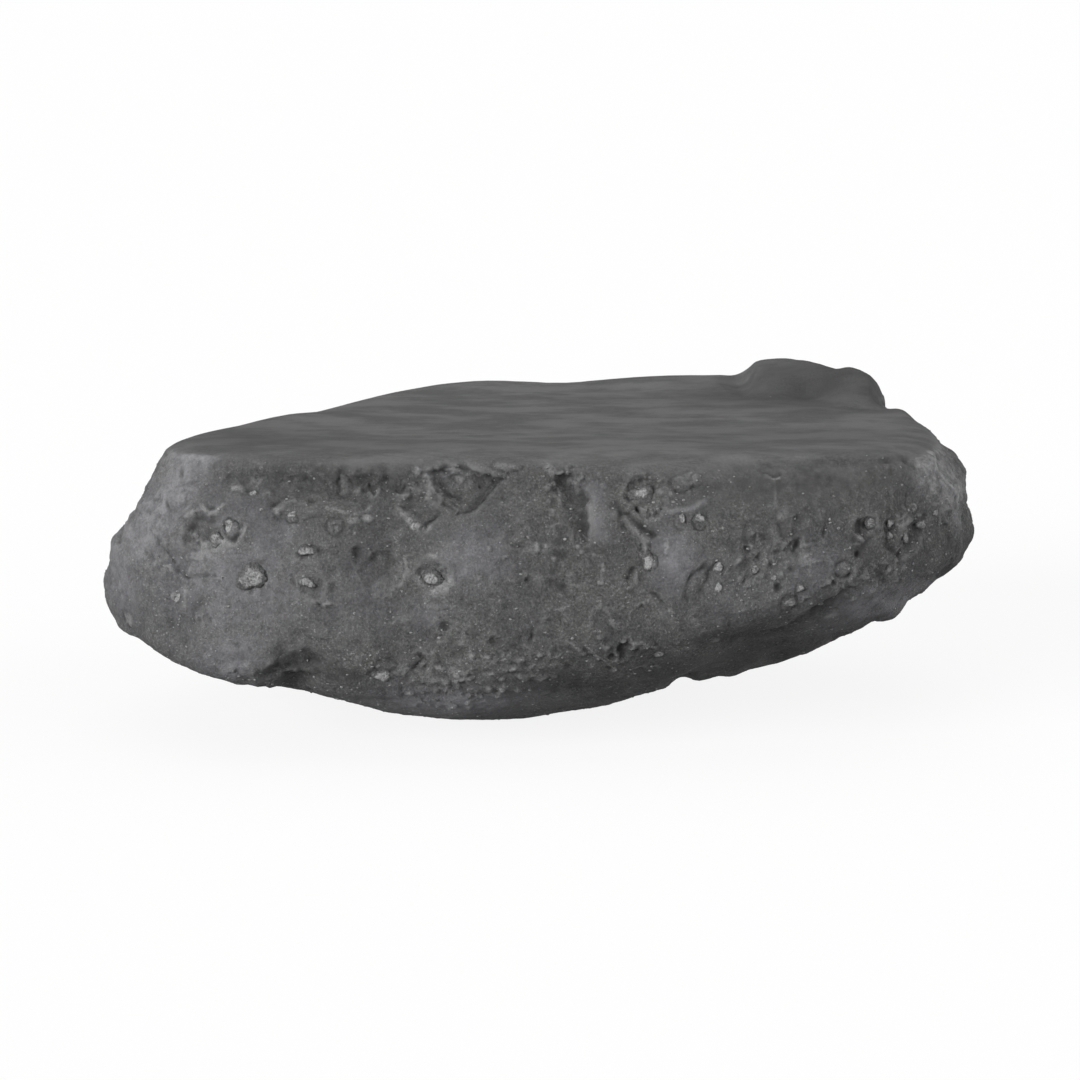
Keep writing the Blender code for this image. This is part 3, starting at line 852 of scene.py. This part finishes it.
def mark_middle_bits(skin):
    """A faint ring and small bits across the middle."""
    skin.ring((0.066, 0.626), (2.1, 3.4), 0.2, 0.16, shade_and_dark_tone=0.4, dust_and_highlight=0.15)
    skin.bit((0.064, 0.622), (0.6, 1.6), 0.12, dust_and_highlight=0.5)
    skin.line([(0.131, 0.69), (0.129, 0.64)], 0.2, 0.15, dust_and_highlight=0.6)
    skin.bit((0.127, 0.632), (0.7, 0.6), 0.2, dust_and_highlight=1)
    for place, size in (
        ((0.032, 0.705), (1.4, 0.5)),
        ((-0.009, 0.746), (0.9, 1)),
        ((-0.108, 0.736), (0.8, 0.7)),
        ((-0.07, 0.706), (1.1, 0.4)),
        ((0.01, 0.748), (0.6, 0.6)),
        ((0.078, 0.745), (0.6, 0.5)),
        ((-0.13, 0.64), (0.7, 0.5)),
        ((0.09, 0.735), (0.5, 0.5)),
    ):
        skin.bit(place, size, dust_and_highlight=0.85)
    skin.ring((-0.214, 0.528), (1, 1.5), 0.15, 0.15, shade_and_dark_tone=0.4, dust_and_highlight=0.3)


def mark_round_pit(skin):
    """The round pit, and the oval patch right of it."""
    skin.pit((0.228, 0.898), (5, 4.8), 0.35, rim=0.06, lean=0.3, shade_and_dark_tone=0.4, dust_and_highlight=0.2)
    skin.rubble((0.23, 0.898), (4.4, 4.4), 20, 21, dust_and_highlight=0.55)
    under = [(0.205, 0.858), (0.222, 0.85), (0.25, 0.852), (0.264, 0.872), (0.268, 0.9)]
    skin.line(under, 0.2, -0.3, shade_and_dark_tone=0.75)
    skin.pit((0.208, 0.858), (0.6, 0.6), 0.4, shade_and_dark_tone=1)
    skin.line([(0.28, 0.85), (0.31, 0.855), (0.35, 0.88)], 0.35, 0.3, highlight_and_pale_tone=0.6, dust_and_highlight=0.25)
    skin.ring((0.315, 0.938), (4, 2), 0.16, 0.12, tilt=10, shade_and_dark_tone=0.4, dust_and_highlight=0.3)
    skin.rubble((0.315, 0.94), (2.8, 1.4), 7, 24, dust_and_highlight=0.4)
    skin.line([(0.29, 0.912), (0.312, 0.905), (0.345, 0.928)], 0.16, -0.15, shade_and_dark_tone=0.5)


def mark_fork(skin):
    """The bright grains' rings, and the fork of grooves below the round pit."""
    skin.ring((0.342, 0.822), (1.9, 1.7), 0.16, 0.22, shade_and_dark_tone=0.6)
    skin.ring((0.297, 0.822), (1.5, 1.7), 0.15, 0.18, shade_and_dark_tone=0.5)
    skin.line([(0.183, 0.824), (0.205, 0.795), (0.224, 0.762)], 0.42, 0.4, dust_and_highlight=0.45)
    skin.line([(0.19, 0.842), (0.214, 0.815), (0.238, 0.782)], 0.34, -0.42, shade_and_dark_tone=0.75)
    skin.line([(0.165, 0.88), (0.175, 0.85), (0.18, 0.82)], 0.6, -0.45, shade_and_dark_tone=0.6)
    skin.ring((0.221, 0.747), (1, 1.2), 0.15, 0.2, shade_and_dark_tone=0.7, dust_and_highlight=0.8)
    skin.ring((0.231, 0.704), (1.5, 2), 0.17, 0.3, shade_and_dark_tone=0.8, dust_and_highlight=0.3)
    skin.line([(0.218, 0.708), (0.208, 0.688), (0.194, 0.668), (0.185, 0.648)], 0.34, -0.4, shade_and_dark_tone=0.75)
    skin.line([(0.196, 0.672), (0.198, 0.635), (0.202, 0.6)], 0.22, -0.2, shade_and_dark_tone=0.5)
    skin.rubble((0.222, 0.735), (1.6, 3.4), 6, 27, dust_and_highlight=0.7)
    skin.bit((0.203, 0.648), (0.9, 2.2), 0.3, tilt=-10, dust_and_highlight=0.4)
    skin.bit((0.265, 0.743), (0.45, 1.7), 0.2, tilt=-10, dust_and_highlight=0.9)
    skin.bit((0.281, 0.541), (0.7, 0.7), 0.25, dust_and_highlight=0.9)
    skin.line([(0.24, 0.6), (0.262, 0.57), (0.281, 0.541)], 0.2, -0.25, shade_and_dark_tone=0.6)
    crack = [(0.35, 0.688), (0.328, 0.668), (0.31, 0.64), (0.306, 0.605), (0.318, 0.575)]
    skin.line(crack, 0.28, -0.26, shade_and_dark_tone=0.45)


def mark_nose(skin):
    """Short ridges and rubble low down, where the stone juts forward."""
    skin.line([(0.055, 0.44), (0.081, 0.411)], 0.2, 0.2, dust_and_highlight=0.7)
    skin.line([(0.094, 0.432), (0.112, 0.405), (0.129, 0.377), (0.16, 0.331)], 0.2, 0.25, dust_and_highlight=0.8)
    skin.line([(0.1, 0.42), (0.12, 0.385), (0.15, 0.34)], 0.45, -0.35, shade_and_dark_tone=0.6)
    skin.line([(-0.257, 0.385), (-0.249, 0.369), (-0.275, 0.342)], 0.28, -0.4, shade_and_dark_tone=1)
    skin.bit((-0.29, 0.33), (1.3, 0.5), 0.2, tilt=40, dust_and_highlight=0.8)
    skin.line([(0.188, 0.427), (0.22, 0.42), (0.253, 0.397)], 0.18, 0.15, dust_and_highlight=0.7)
    skin.pit((0.18, 0.4), (2, 2.4), 0.4, shade_and_dark_tone=0.6)
    for course in (
        [(-0.24, 0.415), (-0.2, 0.428), (-0.15, 0.422)],
        [(-0.2, 0.365), (-0.15, 0.375), (-0.105, 0.372)],
        [(-0.11, 0.345), (-0.06, 0.335), (-0.02, 0.345)],
        [(-0.26, 0.3), (-0.2, 0.292), (-0.15, 0.3)],
        [(0, 0.35), (0.035, 0.362)],
        [(-0.05, 0.305), (0, 0.312), (0.03, 0.305)],
        [(0.2, 0.33), (0.26, 0.322)],
        [(-0.02, 0.4), (0.01, 0.42)],
    ):
        skin.line(course, 0.16, 0.12, dust_and_highlight=0.5)
    skin.rubble((-0.13, 0.315), (17, 7), 44, 41, dust_and_highlight=0.85)
    skin.rubble((-0.17, 0.215), (14, 4), 34, 42, dust_and_highlight=0.8)
    # Painted light on the low front, which lies in shade, partly paler stone; then a patch of painted
    # shade at the lower left.
    skin.zone_light((-0.19, 0.195), (24, 6), 1.35)
    skin.zone_light((-0.1, 0.33), (12, 4), 0.15)
    skin.zone_shade((-0.405, 0.28), (7, 4), 0.4)
    skin.rubble((0.13, 0.42), (8, 4), 12, 47, dust_and_highlight=0.55)
    skin.rubble((-0.66, 0.33), (6.5, 2), 9, 43, dust_and_highlight=0.75)
    nose_bits = [(-0.106, 0.318), (-0.118, 0.388), (-0.145, 0.385), (0, 0.4)]
    nose_bits += [(-0.18, 0.312), (-0.08, 0.3), (-0.22, 0.345)]
    for place in nose_bits:
        skin.bit(place, (0.9, 0.7), 0.25, dust_and_highlight=1)


def mark_patch(skin):
    """The patch of pale grains right of the middle."""
    skin.line([(0.372, 0.7), (0.357, 0.672), (0.352, 0.64), (0.34, 0.61)], 0.3, -0.25, shade_and_dark_tone=0.5)
    skin.ring((0.532, 0.548), (2.2, 2.1), 0.16, 0.12, shade_and_dark_tone=0.35)
    skin.bit((0.563, 0.736), (1.2, 1.5), 0.3, dust_and_highlight=0.55)
    skin.pit((0.553, 0.725), (1.6, 2.6), 0.25, shade_and_dark_tone=0.6)
    skin.bit((0.461, 0.76), (0.4, 1.3), 0.2, dust_and_highlight=0.6)
    skin.bit((0.528, 0.75), (0.9, 0.4), 0.2, tilt=30, dust_and_highlight=0.7)
    skin.pit((0.462, 0.73), (3.6, 3.4), 0.22, shade_and_dark_tone=0.3)
    skin.rubble((0.466, 0.7), (7, 7), 22, 31, dust_and_highlight=0.6)
    skin.line([(0.44, 0.74), (0.452, 0.712), (0.463, 0.7)], 0.25, -0.2, shade_and_dark_tone=0.45)


def mark_right_end(skin):
    """The right pit, the branching hollow and the rubble below them."""
    skin.line([(0.48, 0.955), (0.497, 0.943), (0.518, 0.952)], 0.22, -0.3, shade_and_dark_tone=0.7)
    skin.line([(0.485, 0.945), (0.497, 0.934), (0.512, 0.943)], 0.16, 0.15, dust_and_highlight=0.6)
    skin.pit((0.7, 0.782), (3.4, 2.8), 0.45, rim=0.08, lean=0.8, shade_and_dark_tone=0.9)
    skin.bit((0.69, 0.748), (2, 0.9), 0.35, tilt=-25, dust_and_highlight=0.45)
    skin.pit((0.763, 0.742), (2.4, 4.2), 0.5, rim=0.05, lean=0.7, shade_and_dark_tone=0.7)
    skin.pit((0.812, 0.715), (5.6, 2.8), 0.45, tilt=48, rim=0.05, lean=0.4, shade_and_dark_tone=0.6)
    skin.line([(0.752, 0.712), (0.765, 0.69), (0.778, 0.668)], 0.4, -0.35, shade_and_dark_tone=0.6)
    skin.rubble((0.79, 0.745), (5, 5), 16, 33, dust_and_highlight=0.65)
    skin.rubble((0.72, 0.6), (12, 5), 24, 35, dust_and_highlight=0.75)
    skin.ring((0.654, 0.653), (2.5, 2), 0.18, 0.22, shade_and_dark_tone=0.5, dust_and_highlight=0.25)
    for place, size, lift, tilt, dust_and_highlight in (
        ((0.755, 0.624), (1.7, 0.6), 0.25, 35, 0.6),
        ((0.701, 0.623), (1.3, 0.6), 0.2, 0, 0.6),
        ((0.635, 0.47), (1.9, 0.7), 0.25, 20, 0.6),
        ((0.613, 0.611), (0.8, 1), 0.2, 0, 0.6),
        ((0.744, 0.48), (0.5, 0.5), 0.2, 0, 1),
        ((0.379, 0.415), (1.3, 0.8), 0.25, 0, 0.7),
        ((0.735, 0.575), (0.7, 0.6), 0.2, 0, 0.7),
        ((0.77, 0.56), (0.6, 0.8), 0.2, 0, 0.7),
    ):
        skin.bit(place, size, lift, tilt, dust_and_highlight)
    # Painted light on the shaded low part at the right, and a painted highlight at the right end.
    skin.zone_light((0.755, 0.5), (15, 7), 1.35)
    skin.zone_light((0.895, 0.85), (5, 7), 0.6)


def mark_lower_right(skin):
    """The ledge above the undercut, and grooves on the rim's right part."""
    skin.step([(0.64, 0.56), (0.595, 0.505), (0.545, 0.45), (0.48, 0.425)], 3.2, 0.7, shade_and_dark_tone=0.6, edge=0.3)
    skin.line([(0.6, 0.515), (0.57, 0.48), (0.545, 0.452)], 0.5, -0.5, shade_and_dark_tone=0.9)
    skin.line([(0.73, 0.975), (0.775, 0.97), (0.82, 0.945)], 0.5, -0.3, shade_and_dark_tone=0.45)
    skin.line([(0.7, 0.985), (0.76, 0.982), (0.8, 0.968)], 0.35, -0.2, shade_and_dark_tone=0.4)


MARKS = [
    mark_big_pit,
    mark_lens_pits,
    mark_left_rim,
    mark_worn_pits,
    mark_left_crumbs,
    mark_left_cracks,
    mark_lower_left,
    shade_left_end,
    mark_scoop,
    mark_scoop_pit,
    mark_ring_pit,
    mark_gouge,
    mark_middle_bits,
    mark_round_pit,
    mark_fork,
    mark_nose,
    mark_patch,
    mark_right_end,
    mark_lower_right,
]

SPECKLED_ZONES = [
    ((-0.12, 0.32), (20, 6)),
    ((-0.67, 0.33), (10, 4)),
    ((-0.77, 0.56), (11, 9)),
    ((0.7, 0.6), (17, 8)),
    ((0, 0.73), (14, 4)),
    ((0.46, 0.62), (12, 9)),
    ((-0.4, 0.84), (10, 4)),
    ((0.22, 0.78), (7, 6)),
]
SPECKLED_NOSE = (np.array([-7, -24, 8]), np.array([17, 9, 6]))

# Dark patches on the rubbed top: place in shares of half the length and depth, size, shade.
TOP_PATCHES = [
    ((-0.64, -0.42), (9, 6), 0.42),
    ((0.42, 0.55), (7, 8), 0.45),
    ((0.6, 0.66), (14, 7), 0.35),
    ((-0.35, -0.55), (16, 4), 0.22),
    ((0.6, -0.25), (18, 5), 0.22),
    ((0.66, 0.5), (14, 8), 0.95),
]


def rub_top(skin, mesh):
    """How rubbed each point is: the flat top, the nub and the rim's right part."""
    up = skin.above / TOP_HEIGHT
    level = skin.normals[:, 2] + 0.10 * layered_noise(skin.points, 4.0 * MM, 161)
    rubbed = smooth_step(0.50, 0.95, level) * smooth_step(0.90, 0.97, up)
    rubbed = np.maximum(rubbed, smooth_step(1.00, 1.03, up))
    rubbed = np.maximum(rubbed, 0.75 * skin.zone((0.60, 0.94), (30.0, 6.0)))
    return local_mean(rubbed, edge_ends(mesh), 12)


def darken_top(skin):
    for place, size, shade in TOP_PATCHES:
        along = (skin.points[:, 0] / MM - place[0] * HALF_LENGTH / MM) / size[0]
        across = (skin.points[:, 1] / MM - place[1] * HALF_DEPTH / MM) / size[1]
        off = np.hypot(along, across)
        skin.raise_tone("shade_and_dark_tone", shade * np.exp(-off**2) * skin.tones["rubbed"])


def strew_bits(skin, rough):
    """Small pale bits, most of them in the speckled zones."""
    bits, _ = cell_pits(skin.points, 1.5 * MM, 171, 0.45, (0.14 * MM, 0.34 * MM))
    strewn = smooth_step(0.0, 0.35, noise_at(skin.points, 7 * MM, 58))
    for place, size in SPECKLED_ZONES:
        strewn = np.maximum(strewn, skin.zone(place, size))
    centre, size = SPECKLED_NOSE
    nose = np.linalg.norm((skin.points / MM - centre) / size, axis=1)
    strewn = np.maximum(strewn, np.exp(-nose**2))
    skin.strewn = strewn
    bits *= rough * strewn
    skin.out += 0.16 * bits * MM
    skin.raise_tone("dust_and_highlight", 0.65 * np.sqrt(bits) * skin.mottle)


def weather(skin, rough):
    """Pits, winding ridges and grooves, and rings, in patches where the stone is rough. Pits and grooves
    are darkened with painted shade; ridges and rings are lightened with pale dust.
    """
    points = skin.points
    patches = rough * (0.30 + 0.70 * smooth_step(-0.25, 0.30, noise_at(points, 9 * MM, 51)))
    pits, rims = cell_pits(points, 2.4 * MM, 61, 0.55, (0.30 * MM, 0.85 * MM))
    small_pits, small_rims = cell_pits(points, 1.2 * MM, 91, 0.45, (0.18 * MM, 0.38 * MM))
    pitted = 0.10 * rims + 0.06 * small_rims - 0.28 * pits - 0.15 * small_pits
    skin.out += pitted * patches * skin.wear * MM
    ridges = two_worms(points, 2.4 * MM, 1.4 * MM, 141) * patches
    grooves = two_worms(points, 2.9 * MM, 1.6 * MM, 151) * patches
    _, rings = cell_pits(points, 5.5 * MM, 181, 0.50, (0.6 * MM, 1.4 * MM))
    rings *= patches * smooth_step(-0.2, 0.4, noise_at(points, 1.6 * MM, 187))
    skin.out += (0.17 * ridges + 0.12 * rings - 0.20 * grooves) * skin.wear * MM
    ridges = np.maximum(ridges, 0.8 * rings)
    skin.raise_tone("shade_and_dark_tone", 0.5 * pits * patches * skin.mottle)
    skin.raise_tone("shade_and_dark_tone", 0.65 * grooves * skin.mottle)
    skin.raise_tone("dust_and_highlight", 0.45 * ridges * skin.mottle)


def build_stone():
    """The stone, finished; also where its skin began, where it ended and how it faced."""
    item = fine_skin("stone_body", "basalt_stone")
    mesh = item.data
    fill_sockets(mesh)
    skin = Skin(mesh)
    skin.tones["rubbed"] = rub_top(skin, mesh)
    rough = 1 - skin.tones["rubbed"]
    rough *= 1 - 0.5 * smooth_step(-0.35, -0.85, skin.normals[:, 2])
    start = skin.points
    form_stone(skin)
    skin.out += layered_noise(skin.points, 7.0 * MM, 11) * 0.35 * MM * rough
    skin.settle(mesh)
    for mark in MARKS:
        mark(skin)
    darken_top(skin)
    skin.out += layered_noise(skin.points, 2.2 * MM, 23) * 0.20 * MM * (0.05 + 0.95 * rough)
    skin.out += layered_noise(skin.points, 0.8 * MM, 37) * 0.15 * MM * (0.06 + 0.94 * rough)
    strew_bits(skin, rough)
    weather(skin, rough)
    facing = skin.normals
    end = finish_skin(item, skin)
    return item, (start, end, facing)


def finish_skin(item, skin):
    """Moves the surface by the marks, stores their tones and thins the mesh out."""
    mesh = item.data
    grounded = skin.grounded()
    out = skin.out * grounded
    moved = skin.points + skin.normals * out[:, None]
    moved[:, 2] = np.maximum(moved[:, 2], 0.0)
    # Relief for the painted shade: places below the smoothed surface around them are darkened, places
    # above it lightened.
    relief = out - local_mean(out, edge_ends(mesh), 60)
    skin.tones["relief_shade"] = np.clip(relief / (0.35 * MM), -1, 1)
    patchy = 0.15 + 0.85 * skin.strewn
    skin.tones["speckled"] = patchy * (1 - skin.tones["rubbed"]) * grounded
    set_points(mesh, moved)
    for name, values in skin.tones.items():
        store(mesh, name, values)
    thin_out(item, skin)
    item.data.shade_smooth()
    return moved


def thin_out(item, skin):
    """Brings the mesh under its limit, and spares the marked places on the front."""
    marked = np.maximum(skin.tones["dust_and_highlight"], skin.tones["shade_and_dark_tone"])
    spared = skin.front * smooth_step(0.0, 0.5, marked)
    bland = item.vertex_groups.new(name="bland")
    for step in range(BLAND_STEPS + 1):
        chosen = np.nonzero(np.round((1 - spared) * BLAND_STEPS) == step)[0]
        bland.add(chosen.tolist(), step / BLAND_STEPS, "REPLACE")
    triangles = sum(len(face.vertices) - 2 for face in item.data.polygons)
    thin = item.modifiers.new("thin_out", "DECIMATE")
    thin.ratio = min(1.0, MOST_TRIANGLES / triangles)
    thin.vertex_group = bland.name
    thin.vertex_group_factor = BLAND_PULL
    apply_modifiers(item)


def refine_grain(node, variant, skin_start, skin_end, skin_facing):
    """A grain with its CAD body's place and size, worn nearly level with the finished stone around it."""
    item = merged_copy(node, node + "_fine")
    divide = item.modifiers.new("divide", "SUBSURF")
    divide.levels = 3
    divide.render_levels = 3
    apply_modifiers(item)
    mesh = item.data
    points = points_of(mesh)
    centre = (points.min(0) + points.max(0)) / 2
    size = np.ptp(points, axis=0).max()
    near = np.linalg.norm(skin_start - centre, axis=1) < 0.5 * size + 1.0 * MM
    outward = average_facing(skin_facing[near])
    _, beside = along_and_beside(skin_start[near] - centre, outward)
    around = beside > 0.5 * size + 0.15 * MM
    level = ((skin_end[near][around] - centre) @ outward).mean()
    drift = (skin_end - skin_start)[near][around].mean(0)
    drift -= (drift @ outward) * outward

    height = (points - centre) @ outward
    side = points - centre - height[:, None] * outward
    off = np.sqrt(np.clip(1 - (height / height.max()) ** 2, 0, 1))
    turn = np.arctan2(side[:, 2], side[:, 0])
    lobes = np.cos(3 * turn + 1.7 * variant) + 0.6 * np.cos(2 * turn + 0.9 * variant)
    uneven = layered_noise(points, size * 0.35, 40 + variant)
    grow = (0.10 * MM + (0.10 + 0.14 * lobes + 0.34 * uneven) * size) / size
    crown = np.clip(0.07 * size, 0.10 * MM, 0.24 * MM) + GRAIN_SUNK
    front = crown * np.sqrt(1 - off**4) + (0.5 * uneven * size * 0.1) * (1 - off**2)
    front += 0.10 * MM * layered_noise(points, 0.45 * MM, 80 + variant) * (1 - off**2)
    raised = level - GRAIN_SUNK + np.where(height > 0, front, 0.8 * height)
    margin = smooth_step(0.25, 0.95, off) + DULL_GRAINS.get(node, 0.0)
    store(mesh, "margin", margin)
    set_points(mesh, centre + side * (1 + grow)[:, None] + raised[:, None] * outward + drift)
    mesh.shade_smooth()
    return item


def scatter_group():
    """Geometry nodes that strew small flat lumps over a surface."""
    tree = bpy.data.node_groups.new("strew_specks", "GeometryNodeTree")
    face = tree.interface
    face.new_socket("Surface", in_out="INPUT", socket_type="NodeSocketGeometry")
    for name in ("Most per Square Metre", "Closest", "Smallest", "Largest"):
        face.new_socket(name, in_out="INPUT", socket_type="NodeSocketFloat")
    face.new_socket("Seed", in_out="INPUT", socket_type="NodeSocketInt")
    face.new_socket("Material", in_out="INPUT", socket_type="NodeSocketMaterial")
    face.new_socket("Specks", in_out="OUTPUT", socket_type="NodeSocketGeometry")
    nodes = tree.nodes
    given = nodes.new("NodeGroupInput").outputs
    result = nodes.new("NodeGroupOutput").inputs

    def node(kind, settings, **inputs):
        made = nodes.new(kind)
        for name, value in settings.items():
            setattr(made, name, value)
        for name, value in inputs.items():
            socket = made.inputs[name.replace("_", " ")]
            if isinstance(value, bpy.types.NodeSocket):
                tree.links.new(value, socket)
            else:
                socket.default_value = value
        return made

    where = node("GeometryNodeInputNamedAttribute", {"data_type": "FLOAT"}, Name="speckled")
    spots = node(
        "GeometryNodeDistributePointsOnFaces",
        {"distribute_method": "POISSON"},
        Mesh=given["Surface"],
        Distance_Min=given["Closest"],
        Density_Max=given["Most per Square Metre"],
        Density_Factor=where.outputs["Attribute"],
        Seed=given["Seed"],
    )
    lump = node("GeometryNodeMeshIcoSphere", {}, Radius=1.0, Subdivisions=1)
    size = node(
        "FunctionNodeRandomValue",
        {"data_type": "FLOAT"},
        Min=given["Smallest"],
        Max=given["Largest"],
        Seed=given["Seed"],
    )
    squash = node(
        "FunctionNodeRandomValue",
        {"data_type": "FLOAT_VECTOR"},
        Min=(0.7, 0.5, 0.35),
        Max=(1.4, 1.0, 0.6),
        Seed=given["Seed"],
    )
    scale = node("ShaderNodeVectorMath", {"operation": "SCALE"}, Scale=size.outputs[1])
    tree.links.new(squash.outputs[0], scale.inputs[0])
    strewn = node(
        "GeometryNodeInstanceOnPoints",
        {},
        Points=spots.outputs["Points"],
        Instance=lump.outputs["Mesh"],
        Rotation=spots.outputs["Rotation"],
        Scale=scale.outputs[0],
    )
    real = node("GeometryNodeRealizeInstances", {}, Geometry=strewn.outputs["Instances"])
    strewn_mesh = real.outputs["Geometry"]
    coated = node("GeometryNodeSetMaterial", {}, Geometry=strewn_mesh, Material=given["Material"])
    tree.links.new(coated.outputs["Geometry"], result["Specks"])
    return tree


def build_specks(stone, material):
    """The smallest mineral specks, strewn over the finished stone."""
    specks = plain_object("mineral_specks", stone.data.copy())
    strew = specks.modifiers.new("strew", "NODES")
    strew.node_group = scatter_group()
    values = {
        "Most per Square Metre": 6.0e5,
        "Closest": 0.4 * MM,
        "Smallest": 0.06 * MM,
        "Largest": 0.22 * MM,
        "Seed": 5,
        "Material": material,
    }
    for socket in strew.node_group.interface.items_tree:
        if socket.in_out == "INPUT" and socket.name in values:
            strew[socket.identifier] = values[socket.name]
    apply_modifiers(specks)
    specks.data.shade_smooth()
    return specks


def add_sun(name, towards, strength, spread):
    """A soft light from a given direction. Its spread is in degrees."""
    light = bpy.data.lights.new(name, "SUN")
    light.energy = strength * math.pi
    light.angle = math.radians(spread)
    item = bpy.data.objects.new(name, light)
    item.rotation_euler = Vector(towards).to_track_quat("Z", "Y").to_euler()
    bpy.context.scene.collection.objects.link(item)


def build_studio():
    """The floor, the white backdrop that only the camera sees, the surrounding light and the suns."""
    floor_mesh = bpy.data.meshes.new("floor")
    corners = [(x * FLOOR_HALF, y * FLOOR_HALF, 0) for x, y in ((-1, -1), (1, -1), (1, 1), (-1, 1))]
    floor_mesh.from_pydata(corners, [], [(0, 1, 2, 3)])
    floor = plain_object("floor", floor_mesh)
    finish = Finish("pale_floor")
    finish.finish(
        Base_Color=grey(0.12),
        Roughness=1.0,
        Emission_Color=grey(1.0),
        Emission_Strength=FLOOR_GLOW,
        Specular_IOR_Level=0.0,
    )
    floor.data.materials.append(finish.material)
    floor.visible_diffuse = False
    floor.visible_glossy = False

    world = bpy.data.worlds.new("studio")
    bpy.context.scene.world = world
    world.use_nodes = True
    nodes = world.node_tree.nodes
    links = world.node_tree.links
    surround = nodes["Background"]
    surround.inputs["Color"].default_value = (1, 1, 1, 1)
    surround.inputs["Strength"].default_value = SURROUND_STRENGTH
    backdrop = nodes.new("ShaderNodeBackground")
    backdrop.inputs["Color"].default_value = (1, 1, 1, 1)
    backdrop.inputs["Strength"].default_value = 1.0
    seen = nodes.new("ShaderNodeLightPath")
    choose = nodes.new("ShaderNodeMixShader")
    links.new(seen.outputs["Is Camera Ray"], choose.inputs[0])
    links.new(surround.outputs[0], choose.inputs[1])
    links.new(backdrop.outputs[0], choose.inputs[2])
    links.new(choose.outputs[0], nodes["World Output"].inputs["Surface"])

    for name, (towards, strength, spread) in SUNS.items():
        add_sun(name, towards, strength, spread)


def build_camera():
    tilt = math.radians(CAMERA_ELEVATION)
    data = bpy.data.cameras.new("camera")
    data.lens = CAMERA_LENS
    data.sensor_width = CAMERA_SENSOR
    data.clip_start = 0.01
    camera = bpy.data.objects.new("camera", data)
    back = Vector((0.0, -math.cos(tilt), math.sin(tilt)))
    camera.location = CAMERA_AIM + back * CAMERA_DISTANCE
    camera.rotation_euler = back.to_track_quat("Z", "Y").to_euler()
    bpy.context.scene.collection.objects.link(camera)
    bpy.context.scene.camera = camera


def declare(piece, node, material):
    piece.data.materials.clear()
    piece.data.materials.append(material)
    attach(piece, "root")
    if node:
        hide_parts(node)


def build_all():
    bpy.context.scene.view_settings.view_transform = "Standard"
    build_camera()
    build_studio()
    stone, skin_moves = build_stone()
    declare(stone, "stone_body", basalt_finish())
    mineral = mineral_finish()
    grains = sorted(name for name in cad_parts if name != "stone_body")
    for variant, node in enumerate(grains):
        declare(refine_grain(node, variant, *skin_moves), node, mineral)
    declare(build_specks(stone, mineral), None, mineral)


build_all()
